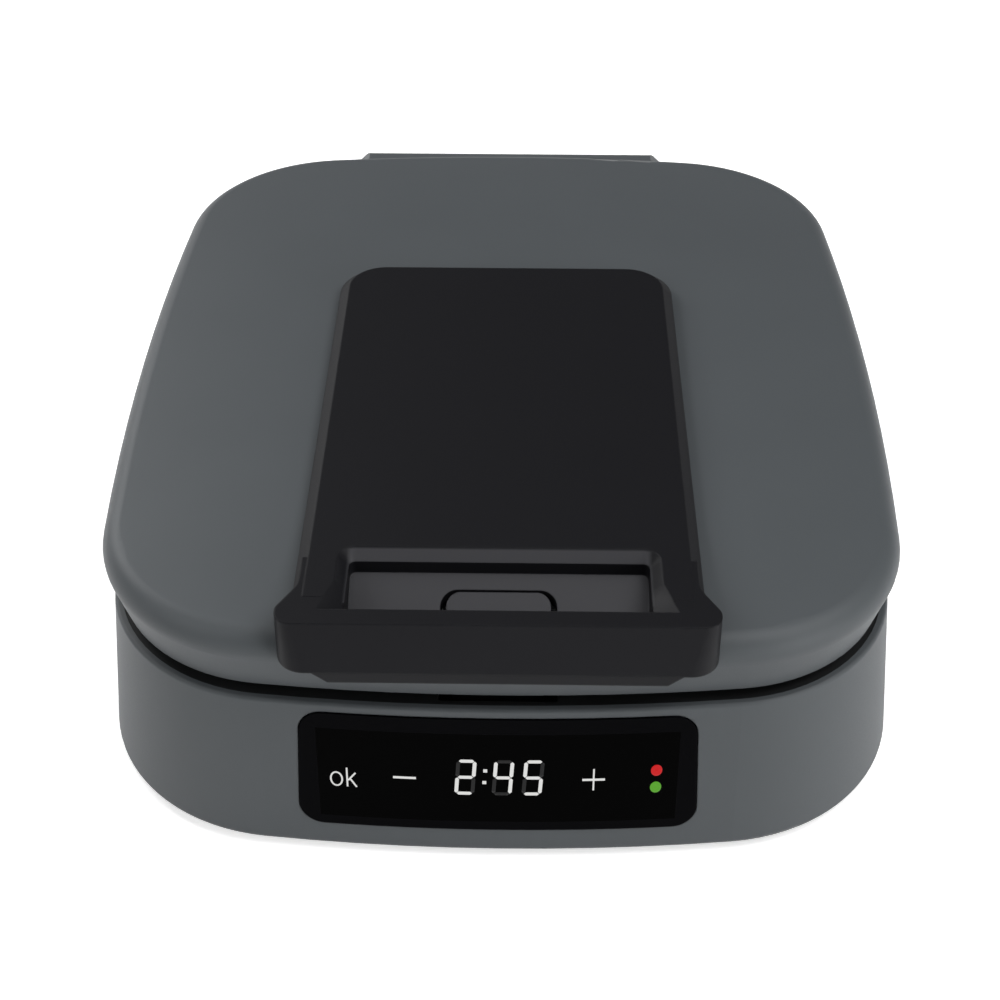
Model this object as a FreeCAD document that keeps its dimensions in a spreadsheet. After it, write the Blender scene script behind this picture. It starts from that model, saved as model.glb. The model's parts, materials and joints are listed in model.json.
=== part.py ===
import FreeCAD, Part
import math
import os
import Sketcher

# A sandwich maker: a base with a touch display, and a hinged lid with a handle and a latch.
# Millimetres. +Z is up, the front of the appliance faces -Y, and it stands on its feet at z = 0.
# Every size that drives the model is a named cell of the sheet dims. Sketches and features read it.

SIZES = {
    # Case plan: bowed sides and ends joined by round corners, at the widest place of the lid.
    "lid_half_width": 125.0,
    "lid_half_depth": 147.0,
    "side_bow_radius": 1240.0,
    "end_bow_radius": 650.0,
    "corner_radius": 57.0,
    # Heights, from the table up.
    "foot_height": 2.5,
    "base_height": 55.0,
    "lid_gap": 3.7,
    "lid_height": 24.4,
    # Base shell.
    "rim_inset": 1.2,
    "base_flare": 6.0,
    "base_wall": 3.4,
    "deck_ledge": 1.2,
    "deck_thickness": 4.6,
    "rim_rounding": 1.2,
    "bottom_rounding": 2.2,
    # Lid shell.
    "lid_slope": 0.28,
    "crown_rise": 2.8,
    "lid_rounding": 7.0,
    "crown_inset": 48.0,
    "lid_wall": 2.6,
    "seat_gap": 0.25,
    # Handle panel and grip bar on the lid.
    "panel_half_width": 58.5,
    "panel_back": 45.0,
    "panel_rise": 5.9,
    "panel_corner": 16.0,
    "panel_bevel": 3.3,
    "panel_bevel_height": 2.6,
    "grip_flare": 4.0,
    "grip_overhang": 4.0,
    "grip_depth": 14.6,
    "grip_lean": 4.8,
    "grip_corner": 4.6,
    "neck_step": 1.5,
    # Finger recess in the handle.
    "recess_length": 23.9,
    "recess_front_gap": 6.9,
    "recess_side_gap": 14.9,
    "recess_bevel": 3.2,
    "recess_depth": 7.3,
    "recess_slope": 0.4,
    "notch_side_gap": 3.5,
    # Latch lever with its push pad.
    "latch_pad_half_width": 15.1,
    "latch_pad_gap": 1.8,
    "latch_pivot_gap": 29.5,
    "latch_pivot_rise": 11.3,
    "latch_pin_radius": 1.5,
    "latch_hub_radius": 4.0,
    "catch_gap": 7.5,
    "catch_side_gap": 2.4,
    # Hinge at the back.
    "hinge_gap": 8.0,
    "hinge_drop": 2.5,
    "hinge_side_gap": 62.0,
    "hinge_barrel_radius": 8.5,
    "hinge_pin_radius": 2.5,
    "ear_radius": 8.0,
    "ear_width": 13.0,
    "running_fit": 0.05,
    # Cooking plates.
    "plate_side_gap": 19.0,
    "plate_front_gap": 41.0,
    "plate_back_gap": 19.0,
    "plate_corner": 20.0,
    "plate_flange": 3.5,
    "plate_thickness": 10.9,
    "plate_step": 6.0,
    "plate_parting": 0.5,
    "pocket_depth": 7.5,
    "element_radius": 3.0,
    "element_half_width": 58.0,
    # Display in the base's front.
    "display_top_half_width": 58.0,
    "display_spread": 2.0,
    "display_low_gap": 9.5,
    "display_top_gap": 3.1,
    "display_corner": 7.2,
    "display_thickness": 2.2,
    "display_proud": 0.35,
    # Feet, cover and cord inlet.
    "foot_radius": 9.0,
    "foot_side_gap": 33.0,
    "foot_end_gap": 39.0,
    "cover_thickness": 2.5,
    "gland_offset": 35.0,
    "gland_height": 21.0,
    "gland_bore_radius": 3.6,
    "screw_radius": 1.5,
}

V = FreeCAD.Vector
doc = FreeCAD.newDocument("sandwich_maker")
sheet = doc.addObject("Spreadsheet::Sheet", "dims")
for row, (alias, value) in enumerate(SIZES.items(), 1):
    sheet.set("A%d" % row, alias)
    sheet.set("B%d" % row, str(value))
    sheet.setAlias("B%d" % row, alias)
doc.recompute()

# Places that follow another piece: its size and a named gap.
RECESS_BACK = "(dims.lid_half_depth - dims.recess_front_gap - dims.recess_length)"
RECESS_FRONT = "(dims.lid_half_depth - dims.recess_front_gap)"
RECESS_HALF_WIDTH = "(dims.panel_half_width - dims.recess_side_gap)"
NOTCH_HALF_WIDTH = "(dims.panel_half_width - dims.notch_side_gap)"
GRIP_HALF_WIDTH = "(dims.panel_half_width + dims.grip_flare)"
NECK_HALF_WIDTH = "(dims.panel_half_width - dims.neck_step)"
LATCH_PIVOT_FRONT = "(dims.lid_half_depth - dims.latch_pivot_gap)"
LATCH_PIVOT_HEIGHT = "(dims.foot_height + dims.base_height + dims.lid_gap + dims.latch_pivot_rise)"
CATCH_FRONT = "(dims.lid_half_depth - dims.catch_gap)"
CATCH_HALF_WIDTH = "(dims.latch_pad_half_width + dims.catch_side_gap)"
HINGE_BACK = "(dims.lid_half_depth + dims.hinge_gap)"
HINGE_HEIGHT = "(dims.foot_height + dims.base_height - dims.hinge_drop)"
HINGE_HALF_WIDTH = "(dims.lid_half_width - dims.hinge_side_gap)"
PLATE_HALF_WIDTH = "(dims.lid_half_width - dims.plate_side_gap)"
PLATE_FRONT = "(dims.lid_half_depth - dims.plate_front_gap)"
PLATE_BACK = "(dims.lid_half_depth - dims.plate_back_gap)"
DISPLAY_LOW = "(dims.foot_height + dims.display_low_gap)"
DISPLAY_HIGH = "(dims.foot_height + dims.base_height - dims.display_top_gap)"
DISPLAY_LOW_HALF_WIDTH = "(dims.display_top_half_width + dims.display_spread)"
FOOT_HALF_SPAN = "(dims.lid_half_width - dims.foot_side_gap)"
FOOT_HALF_REACH = "(dims.lid_half_depth - dims.foot_end_gap)"
LID_SHOULDER = "(dims.lid_height - dims.crown_rise)"

# Heights and depths that several pieces share, as expressions over the sheet.
BASE_LOW = "dims.foot_height"
BASE_TOP = "(dims.foot_height + dims.base_height)"
DECK_LOW = "(dims.foot_height + dims.base_height - dims.deck_thickness)"
LID_LOW = "(dims.foot_height + dims.base_height + dims.lid_gap)"
SEAM = "(dims.foot_height + dims.base_height + dims.lid_gap / 2)"
SHOULDER = "(dims.foot_height + dims.base_height + dims.lid_gap + " + LID_SHOULDER + ")"
CROWN = "(dims.foot_height + dims.base_height + dims.lid_gap + dims.lid_height)"
PANEL_TOP = "(dims.foot_height + dims.base_height + dims.lid_gap + dims.lid_height + dims.panel_rise)"
BAR_LOW = "(%s - dims.grip_depth)" % PANEL_TOP
BAR_FRONT = "(dims.lid_half_depth + dims.grip_overhang)"
COVER_LOW = "(dims.foot_height + 1.2)"
COVER_TOP = "(dims.foot_height + 1.2 + dims.cover_thickness)"
# The object's box runs from the grip bar to the hinge barrel: this puts the origin in its middle.
CENTRE_SHIFT = "-(" + HINGE_BACK + " + dims.hinge_barrel_radius - dims.lid_half_depth - dims.grip_overhang) / 2"

ROLES = {"XY": "XY_Plane", "XZ": "XZ_Plane", "YZ": "YZ_Plane"}
finished = []


def num(text):
    """The value of an expression over the sheet."""
    value = sheet.evalExpression(str(text))
    return float(getattr(value, "Value", value))


def bind(item, name, text):
    """Sets a property, and ties it to its expression when that names a cell."""
    if "dims." in text:
        item.setExpression(name, text)
    elif "." not in name:
        setattr(item, name, num(text))


def new_sketch(body, plane, offset, name):
    """An empty sketch on one of the body's origin planes, moved along the plane's normal."""
    sketch = body.newObject("Sketcher::SketchObject", name)
    support = [f for f in body.Origin.OriginFeatures if f.Role == ROLES[plane]][0]
    sketch.AttachmentSupport = [(support, "")]
    sketch.MapMode = "FlatFace"
    sketch.AttachmentOffset = FreeCAD.Placement(V(0, 0, num(offset)), FreeCAD.Rotation())
    if "dims." in offset:
        sketch.setExpression("AttachmentOffset.Base.z", offset)
    return sketch


def fix(sketch, kind, text, *places):
    """Adds a dimension to a sketch and ties it to its expression."""
    index = sketch.addConstraint(Sketcher.Constraint(kind, *places, num(text)))
    if "dims." in text:
        name = "size%d" % index
        sketch.renameConstraint(index, name)
        sketch.setExpression("Constraints." + name, text)


def link(sketch, kind, *places):
    """Adds a relation without a value to a sketch."""
    sketch.addConstraint(Sketcher.Constraint(kind, *places))


def profile(body, plane, offset, corners, name):
    """A closed sketch of straight sides. Each corner is (x, y) or (x, y, rounding), as expressions."""
    sketch = new_sketch(body, plane, offset, name)
    count = len(corners)
    points = [V(num(c[0]), num(c[1]), 0) for c in corners]
    entry, leave, arcs = list(points), list(points), {}
    for i, corner in enumerate(corners):
        if len(corner) < 3:
            continue
        radius = num(corner[2])
        before = (points[i - 1] - points[i]).normalize()
        after = (points[(i + 1) % count] - points[i]).normalize()
        half = math.acos(max(-1.0, min(1.0, before.dot(after)))) / 2
        entry[i] = points[i] + before * (radius / math.tan(half))
        leave[i] = points[i] + after * (radius / math.tan(half))
        middle = (before + after).normalize()
        centre = points[i] + middle * (radius / math.sin(half))
        left_turn = before.cross(after).z < 0
        first, last = (entry[i], leave[i]) if left_turn else (leave[i], entry[i])
        start = math.atan2(first.y - centre.y, first.x - centre.x)
        stop = math.atan2(last.y - centre.y, last.x - centre.x)
        if stop < start:
            stop += 2 * math.pi
        arcs[i] = (Part.ArcOfCircle(Part.Circle(centre, V(0, 0, 1), radius), start, stop), left_turn)
    for i in range(count):
        sketch.addGeometry(Part.LineSegment(leave[i], entry[(i + 1) % count]), False)
    for i, corner in enumerate(corners):
        side_in, side_out = (i - 1) % count, i
        if i not in arcs:
            link(sketch, "Coincident", side_in, 2, side_out, 1)
            fix(sketch, "DistanceX", corner[0], -1, 1, side_out, 1)
            fix(sketch, "DistanceY", corner[1], -1, 1, side_out, 1)
            continue
        curve, left_turn = arcs[i]
        arc = sketch.addGeometry(curve, False)
        dot = sketch.addGeometry(Part.Point(points[i]), True)
        link(sketch, "Tangent", side_in, 2, arc, 1 if left_turn else 2)
        link(sketch, "Tangent", arc, 2 if left_turn else 1, side_out, 1)
        link(sketch, "PointOnObject", dot, 1, side_in)
        link(sketch, "PointOnObject", dot, 1, side_out)
        fix(sketch, "DistanceX", corner[0], -1, 1, dot, 1)
        fix(sketch, "DistanceY", corner[1], -1, 1, dot, 1)
        fix(sketch, "Radius", corner[2], arc)
    return sketch


def rect(x0, x1, y0, y1, rounding=None):
    """The corners of a rectangle for profile()."""
    places = ((x0, y0), (x1, y0), (x1, y1), (x0, y1))
    return [p + (rounding,) if rounding else p for p in places]


def circles(body, plane, offset, places, name):
    """A sketch of circles, each (x, y, radius)."""
    sketch = new_sketch(body, plane, offset, name)
    for x, y, radius in places:
        circle = Part.Circle(V(num(x), num(y), 0), V(0, 0, 1), num(radius))
        index = sketch.addGeometry(circle, False)
        fix(sketch, "DistanceX", x, -1, 1, index, 3)
        fix(sketch, "DistanceY", y, -1, 1, index, 3)
        fix(sketch, "Radius", radius, index)
    return sketch


def outline(body, height, inset, name):
    """The bowed plan of the case at a height, drawn in by an inset: eight arcs that run into each other."""
    sketch = new_sketch(body, "XY", height, name)
    a, b = num("dims.lid_half_width"), num("dims.lid_half_depth")
    side, end, corner = num("dims.side_bow_radius"), num("dims.end_bow_radius"), num("dims.corner_radius")
    draw_in = num(inset)
    # The corner's centre is as far from both bow centres as a corner arc that touches both bows needs.
    side_x, end_y = a - side, b - end
    far, near = side - corner, end - corner
    span = math.hypot(side_x, end_y)
    along = (far ** 2 - near ** 2 + span ** 2) / (2 * span)
    aside = math.sqrt(far ** 2 - along ** 2)
    ux, uy = -side_x / span, end_y / span
    cx = side_x + ux * along - uy * aside
    cy = uy * along + ux * aside
    low = math.atan2(cy, cx - side_x)
    high = math.atan2(cy - end_y, cx)
    turn = math.pi
    runs = (
        (side_x, 0, side, -low, low), (cx, cy, corner, low, high),
        (0, end_y, end, high, turn - high), (-cx, cy, corner, turn - high, turn - low),
        (-side_x, 0, side, turn - low, turn + low), (-cx, -cy, corner, turn + low, turn + high),
        (0, -end_y, end, turn + high, 2 * turn - high), (cx, -cy, corner, 2 * turn - high, 2 * turn - low),
    )
    for x, y, radius, start, stop in runs:
        circle = Part.Circle(V(x, y, 0), V(0, 0, 1), radius - draw_in)
        sketch.addGeometry(Part.ArcOfCircle(circle, start, stop), False)
    for i in range(8):
        link(sketch, "Tangent", i, 2, (i + 1) % 8, 1)
    for arc, axis, kind, text in (
        (0, -1, "DistanceX", "dims.lid_half_width - dims.side_bow_radius"),
        (4, -1, "DistanceX", "dims.side_bow_radius - dims.lid_half_width"),
        (2, -2, "DistanceY", "dims.lid_half_depth - dims.end_bow_radius"),
        (6, -2, "DistanceY", "dims.end_bow_radius - dims.lid_half_depth"),
    ):
        link(sketch, "PointOnObject", arc, 3, axis)
        fix(sketch, kind, text, -1, 1, arc, 3)
    for first, radius in ((0, "dims.side_bow_radius"), (2, "dims.end_bow_radius")):
        fix(sketch, "Radius", "%s - (%s)" % (radius, inset), first)
        link(sketch, "Equal", first, first + 4)
    fix(sketch, "Radius", "dims.corner_radius - (%s)" % inset, 1)
    for other in (3, 5, 7):
        link(sketch, "Equal", 1, other)
    return sketch


def feature(body, kind, sketch, name):
    """A PartDesign feature made from a sketch."""
    item = body.newObject("PartDesign::" + kind, name)
    item.Profile = sketch
    sketch.Visibility = False
    return item


def pad(body, sketch, length, name, middle=False, flip=False, kind="Pad"):
    """Adds the sketch's extrusion: along its plane's normal, against it, or to both sides."""
    item = feature(body, kind, sketch, name)
    item.Type = 0
    item.Midplane = middle
    item.Reversed = flip
    bind(item, "Length", length)
    return item


def pocket(body, sketch, length, name, middle=False, flip=False):
    """Cuts the sketch's extrusion: against its plane's normal, along it, or to both sides."""
    return pad(body, sketch, length, name, middle, flip, "Pocket")


def loft(body, first, second, name, kind="AdditiveLoft"):
    """Joins two sketches by straight lines."""
    item = feature(body, kind, first, name)
    item.Sections = [second]
    item.Ruled = True
    second.Visibility = False
    return item


def new_body(name):
    return doc.addObject("PartDesign::Body", name)


def extrude(name, plane, offset, corners, length, middle=False, flip=False):
    """A body of one extruded profile."""
    body = new_body(name)
    pad(body, profile(body, plane, offset, corners, name + "_plan"), length, name + "_pad", middle, flip)
    return body


def rods(name, plane, offset, places, length, middle=False, flip=False):
    """A body of round rods, each (x, y, radius)."""
    body = new_body(name)
    body.AllowCompound = True
    pad(body, circles(body, plane, offset, places, name + "_plan"), length, name + "_pad", middle, flip)
    return body


def cut(name, base, *tools):
    """base without the tools."""
    item = doc.addObject("Part::Cut", name)
    item.Base = base
    item.Tool = tools[0] if len(tools) == 1 else fuse(name + "_tools", *tools)
    return item


def fuse(name, *pieces):
    item = doc.addObject("Part::MultiFuse", name)
    item.Shapes = list(pieces)
    return item


def common(name, first, second):
    item = doc.addObject("Part::MultiCommon", name)
    item.Shapes = [first, second]
    return item


def round_face(body, pick, radius, name):
    """Rounds every edge of the face that pick() ranks highest on the body's tip."""
    doc.recompute()
    base = body.Tip
    ranked = sorted(enumerate(base.Shape.Faces, 1), key=lambda pair: pick(pair[1]))
    item = body.newObject("PartDesign::Fillet", name)
    item.Base = (base, ["Face%d" % ranked[-1][0]])
    bind(item, "Radius", radius)
    return item


def round_edges(body, test, radius, name):
    """Rounds the edges of the body's tip whose middle passes the test."""
    doc.recompute()
    base = body.Tip
    names = []
    for i, edge in enumerate(base.Shape.Edges, 1):
        if test(edge.CenterOfMass):
            names.append("Edge%d" % i)
    item = body.newObject("PartDesign::Fillet", name)
    item.Base = (base, names)
    bind(item, "Radius", radius)
    return item


def finish(item, label):
    """Names a finished piece and puts it in the shared frame."""
    item.Label = label
    item.Placement = FreeCAD.Placement(V(0, num(CENTRE_SHIFT), 0), FreeCAD.Rotation())
    item.setExpression("Placement.Base.y", CENTRE_SHIFT)
    finished.append((item, label))
    return item


def base_form(name, grow, low, high):
    """The base's flared form, grown outward, between two heights: its walls lean in as they rise."""
    body = new_body(name)
    inset = "dims.rim_inset - dims.base_flare * (%s - (%s)) / dims.base_height - (%s)" % (BASE_TOP, low,
        grow)
    plan = outline(body, low, inset, name + "_plan")
    item = pad(body, plan, "%s - (%s)" % (high, low), name + "_pad")
    item.setExpression("TaperAngle", "-atan(dims.base_flare / dims.base_height)")
    return body


def wall_inset(height, grow):
    """How far the lid's leaning wall lies inside the case plan at a height: nothing at the rounding."""
    lean = "(sqrt(1 + dims.lid_slope^2) + dims.lid_slope)"
    corner = "dims.lid_rounding - (dims.lid_rounding + (%s)) * %s" % (grow, lean)
    return "%s + dims.lid_slope * (%s + (%s) - (%s))" % (corner, SHOULDER, grow, height)


def lid_form(name, grow, low):
    """The lid's form, grown outward: walls that lean out, a rounded shoulder and a low crown."""
    body = new_body(name)
    shoulder = "%s + (%s)" % (SHOULDER, grow)
    plan = outline(body, low, wall_inset(low, grow), name + "_plan")
    wall = pad(body, plan, "%s - (%s)" % (shoulder, low), name + "_wall")
    wall.setExpression("TaperAngle", "atan(dims.lid_slope)")
    round_face(body, lambda face: face.CenterOfMass.z, "dims.lid_rounding + (%s)" % grow, name + "_round")
    crown_low = outline(body, shoulder, "dims.lid_rounding + 0.6", name + "_crown_low")
    crown_high = outline(body, "%s + (%s)" % (CROWN, grow), "dims.crown_inset", name + "_crown_high")
    loft(body, crown_low, crown_high, name + "_crown")
    return body


def mirrored(places):
    """The same places (x, y, ...) on both sides of the middle plane."""
    both = []
    for place in places:
        both.append(place)
        both.append(("-(%s)" % place[0],) + tuple(place[1:]))
    return both


# The forms that the shells, and what is seated on them, are cut from.
base_outer = base_form("base_outer", "0", BASE_LOW, BASE_TOP)
round_face(base_outer, lambda face: face.CenterOfMass.z, "dims.rim_rounding", "base_rim_round")
round_face(base_outer, lambda face: -face.CenterOfMass.z, "dims.bottom_rounding", "base_low_round")
base_room = base_form("base_room", "-dims.base_wall", BASE_LOW + " - 1", DECK_LOW + " + 1")
deck_room = base_form("deck_room", "dims.deck_ledge - dims.base_wall", DECK_LOW, BASE_TOP + " + 1")
lid_outer = lid_form("lid_outer", "0", LID_LOW)
lid_room = lid_form("lid_room", "-dims.lid_wall", LID_LOW + " - 2")
lid_mould = lid_form("lid_mould", "dims.seat_gap", LID_LOW + " - 2")

# Base deck: a frame on the shell's inner ledge, which carries the lower plate and the latch's catch.
FLANGE = (PLATE_HALF_WIDTH, PLATE_FRONT, PLATE_BACK, "dims.plate_corner")


def plate_plan(inset):
    """The plan of a cooking plate, drawn in by an inset."""
    wide, front, back, corner = ["(%s - (%s))" % (size, inset) for size in FLANGE]
    return rect("-" + wide, wide, "-" + front, back, corner)


LEDGE = "(%s - dims.plate_parting / 2 - dims.plate_flange - 0.1)" % SEAM
deck_rebate = extrude("deck_rebate", "XY", LEDGE, plate_plan("-0.4"), "20")
deck_opening = extrude("deck_opening", "XY", DECK_LOW + " - 5", plate_plan("dims.plate_step - 0.5"), "20")
catch_slot = extrude(
    "catch_slot", "XY", DECK_LOW + " - 5",
    rect("-" + CATCH_HALF_WIDTH, CATCH_HALF_WIDTH, "-2 - " + CATCH_FRONT, "15 - " + CATCH_FRONT, "1"),
    "20",
)
CATCH_PEGS = mirrored([(CATCH_HALF_WIDTH + " + 3.5", "-1.4 - " + CATCH_FRONT, "1.2")])
catch_bores = rods("catch_bores", "XY", DECK_LOW + " - 1", [(x, y, "1.25") for x, y, r in CATCH_PEGS], "4")

BOSS_SIDE, BOSS_END = "dims.lid_half_width - 16", "(dims.lid_half_depth - 77)"
BOSS_PLACES = mirrored([(BOSS_SIDE, BOSS_END), (BOSS_SIDE, "-" + BOSS_END)])
cover_bosses = rods("cover_bosses", "XY", COVER_TOP + " + 0.1", [p + ("5",) for p in BOSS_PLACES],
                    "%s + 1 - %s" % (DECK_LOW, COVER_TOP))
boss_bores = rods("boss_bores", "XY", COVER_TOP, [p + ("dims.screw_radius + 0.05",) for p in BOSS_PLACES],
    "16")


LOWER_SCREWS = mirrored([
    (PLATE_HALF_WIDTH + " - 3", "46 - " + PLATE_FRONT), (PLATE_HALF_WIDTH + " - 3", PLATE_BACK + " - 44")])
ledge_bores = rods("ledge_bores", "XY", DECK_LOW + " - 5", [p + ("1.3",) for p in LOWER_SCREWS], "12")
deck_form = base_form("deck_form", "dims.deck_ledge - dims.base_wall - 0.2", DECK_LOW, BASE_TOP + " - 0.4")
finish(cut("base_deck", fuse("deck_solid", deck_form, cover_bosses), deck_rebate, deck_opening, catch_slot,
           catch_bores, boss_bores, ledge_bores), "base_deck")
catch = extrude("catch_strip", "XY", DECK_LOW + " - 1.5", rect(
    "-" + CATCH_HALF_WIDTH + " - 7", CATCH_HALF_WIDTH + " + 7", "-2.6 - " + CATCH_FRONT, "-" + CATCH_FRONT),
    "1.5")
pad(catch, circles(catch, "XY", DECK_LOW + " - 0.2", CATCH_PEGS, "catch_pegs"), "2.6", "catch_peg_pad")
finish(catch, "catch_plate")


# Base housing: the flared shell with the display's seat, posts for its board, and the cord inlet.
def display_plan(grow):
    """The display's plan on the front, a little wider at the foot, as the base is."""
    top = "(dims.display_top_half_width + %s)" % grow
    low = "(%s + %s)" % (DISPLAY_LOW_HALF_WIDTH, grow)
    corner = "dims.display_corner + %s" % grow
    return [
        ("-" + low, "%s - %s" % (DISPLAY_LOW, grow), corner),
        (low, "%s - %s" % (DISPLAY_LOW, grow), corner),
        (top, "%s + %s" % (DISPLAY_HIGH, grow), corner),
        ("-" + top, "%s + %s" % (DISPLAY_HIGH, grow), corner),
    ]


FRONT_PLANE = "dims.lid_half_depth - 6"
display_seat_prism = extrude("display_seat_prism", "XZ", FRONT_PLANE, display_plan("0.25"), "36",
    middle=True)
display_seat_back = base_form("display_seat_back", "-(dims.display_thickness + 0.2)", BASE_LOW + " - 1",
    BASE_TOP + " + 1")
display_seat = cut("display_seat", display_seat_prism, display_seat_back)
window = extrude("window", "XZ", FRONT_PLANE, rect("-50", "50", DISPLAY_LOW + " + 5.5",
    DISPLAY_HIGH + " - 5.5", "3"),
                 "36", middle=True)
BOARD_BACK = "(dims.lid_half_depth - 14)"
BOARD_PLACES = mirrored([("54.5", DISPLAY_LOW + " + 3.4"), ("54.5", DISPLAY_HIGH + " - 12.6")])
board_posts = rods("board_posts", "XZ", BOARD_BACK + " + 1.7", [p + ("2.8",) for p in BOARD_PLACES], "10")
board_bores = rods("board_bores", "XZ", BOARD_BACK, [p + ("1.05",) for p in BOARD_PLACES], "7")

# Hinge ears stand behind the base, each on a foot that follows its wall, and hold the pin's ends.
EAR_START = "(" + HINGE_HALF_WIDTH + " + 0.5)"
EAR_SCREW = ("(" + HINGE_HALF_WIDTH + " + dims.ear_width / 2 + 0.5)", "(" + HINGE_HEIGHT + " - 19)")
EAR_SCREWS = mirrored([EAR_SCREW])
ear_mould = base_form("ear_mould", "0.1", BASE_LOW, BASE_TOP + " + 1")


def ear(label, flip):
    """One hinge ear with its blind bore, on the right or, flipped, on the left."""
    body = new_body(label + "_body")
    start = ("-" if flip else "") + EAR_START
    wall = "dims.lid_half_depth - 9"
    foot = "dims.lid_half_depth + 1"
    corners = [
        (wall, HINGE_HEIGHT + " - 25"), (foot, HINGE_HEIGHT + " - 25"), (foot, HINGE_HEIGHT + " - 13"),
        (HINGE_BACK, HINGE_HEIGHT + " - dims.ear_radius"), (HINGE_BACK, HINGE_HEIGHT),
        (HINGE_BACK + " - dims.ear_radius + 1", HINGE_HEIGHT + " + 1.8"), (wall, HINGE_HEIGHT + " + 1.8"),
    ]
    web = profile(body, "YZ", start, corners, label + "_web")
    pad(body, web, "dims.ear_width", label + "_web_pad", flip=flip)
    disc = circles(body, "YZ", start, [PIVOT + ("dims.ear_radius",)], label + "_disc")
    pad(body, disc, "dims.ear_width", label + "_disc_pad", flip=flip)
    bore = circles(body, "YZ", start, [PIVOT + ("dims.hinge_pin_radius + dims.running_fit",)],
        label + "_bore")
    pocket(body, bore, "dims.ear_width - 2", label + "_bore_cut", flip=not flip)
    thread = circles(body, "XZ", "-(dims.lid_half_depth - 9)", [
        (EAR_SCREWS[1 if flip else 0]) + ("dims.screw_radius + 0.02",)], label + "_thread")
    pocket(body, thread, "9", label + "_thread_cut")
    return finish(cut(label, body, ear_mould), label)


PIVOT = (HINGE_BACK, HINGE_HEIGHT)
ear("hinge_ear_right", False)
ear("hinge_ear_left", True)
ear_holes = rods("ear_holes", "XZ", "-(dims.lid_half_depth + 3)", [p + ("1.7",) for p in EAR_SCREWS], "14")

# The cord inlet sits on a flat boss low on the back.
GLAND = ("dims.gland_offset", "dims.gland_height")
GLAND_FACE = "(dims.lid_half_depth + 3.6)"
gland_boss = rods("gland_boss", "XZ", "-" + GLAND_FACE, [GLAND + ("10",)], "7")
gland_hole = rods("gland_hole", "XZ", "-(dims.lid_half_depth + 8)", [GLAND + ("6.1",)], "20")

shell = cut("base_shell", base_outer, base_room, deck_room)
solid = fuse("base_solid", shell, board_posts, gland_boss)
finish(cut("base_housing", solid, display_seat, window, board_bores, gland_hole, ear_holes), "base_housing")

# Bottom cover with vents, four posts for the power board and holes for the feet and screws.
cover_plate = base_form("cover_plate", "-(dims.base_wall + 0.3)", COVER_LOW, COVER_TOP)
vents = []
for column in range(-2, 3):
    x = "%d * 14" % column
    vents.append(extrude("vent%d" % (column + 2), "XY", COVER_LOW + " - 1",
                         rect("%s - 2" % x, "%s + 2" % x, "-25", "25", "1.9"), "8"))
POWER_PLACES = [("-66", "20"), ("-66", "76"), ("-20", "20"), ("-20", "76")]
POWER_PLACES = [(x, "%s + 20" % y) for x, y in POWER_PLACES]
power_posts = rods("power_posts", "XY", COVER_TOP + " - 0.5", [p + ("3.2",) for p in POWER_PLACES], "6.5")
power_bores = rods("power_bores", "XY", COVER_TOP + " + 0.5", [p + ("1.05",) for p in POWER_PLACES], "8")
FOOT_PLACES = mirrored([
    (FOOT_HALF_SPAN, FOOT_HALF_REACH), (FOOT_HALF_SPAN, "-" + FOOT_HALF_REACH)])
foot_holes = rods("foot_holes", "XY", COVER_LOW + " - 1", [p + ("3.1",) for p in FOOT_PLACES], "8")
cover_holes = rods("cover_holes", "XY", COVER_LOW + " - 1",
    [p + ("dims.screw_radius + 0.2",) for p in BOSS_PLACES], "8")
finish(cut("bottom_cover", fuse("cover_solid", cover_plate, power_posts), foot_holes, cover_holes,
    power_bores, *vents),
       "bottom_cover")

# Four rubber feet, each with a peg and a barb that holds it in the cover.
FOOT_NAMES = ("foot_back_right", "foot_back_left", "foot_front_right", "foot_front_left")
for label, (x, y) in zip(FOOT_NAMES, FOOT_PLACES):
    body = new_body(label + "_body")
    base_disc = circles(body, "XY", "0", [(x, y, "dims.foot_radius - 1")], label + "_low")
    top_disc = circles(body, "XY", COVER_LOW + " - 0.05", [(x, y, "dims.foot_radius")], label + "_high")
    loft(body, base_disc, top_disc, label + "_loft")
    peg = circles(body, "XY", COVER_LOW + " - 0.2", [(x, y, "3")], label + "_peg")
    pad(body, peg, "dims.cover_thickness + 1.8", label + "_peg_pad")
    barb = circles(body, "XY", COVER_TOP + " + 0.1", [(x, y, "3.9")], label + "_barb")
    pad(body, barb, "1.4", label + "_barb_pad")
    finish(body, label)


def screws(label, plane, head_offset, places, head_radius, head, shank_radius, shank, flip=False):
    """Equal screws: round heads with a cross recess, and shanks that point along the plane's normal."""
    body = new_body(label + "_body")
    body.AllowCompound = True
    heads = circles(body, plane, head_offset, [p + (head_radius,) for p in places], label + "_heads")
    pad(body, heads, head, label + "_head_pad", flip=flip)
    sign = "-" if flip else "+"
    shanks = circles(body, plane, "%s %s %s - (%s 0.1)" % (head_offset, sign, head, sign),
                     [p + (shank_radius,) for p in places], label + "_shanks")
    pad(body, shanks, shank, label + "_shank_pad", flip=flip)
    for way in range(2):
        long, short = "%s * 0.55" % head_radius, "%s * 0.14" % head_radius
        wide, high = (long, short) if way == 0 else (short, long)
        for i, (x, y) in enumerate(places):
            name = "%s_slot%d_%d" % (label, way, i)
            slot = profile(body, plane, head_offset, rect(
                "%s - %s" % (x, wide), "%s + %s" % (x, wide), "%s - %s" % (y, high), "%s + %s" % (y, high)),
                name)
            pocket(body, slot, "%s * 0.45" % head, name + "_cut", flip=not flip)
    return finish(body, label)


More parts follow.
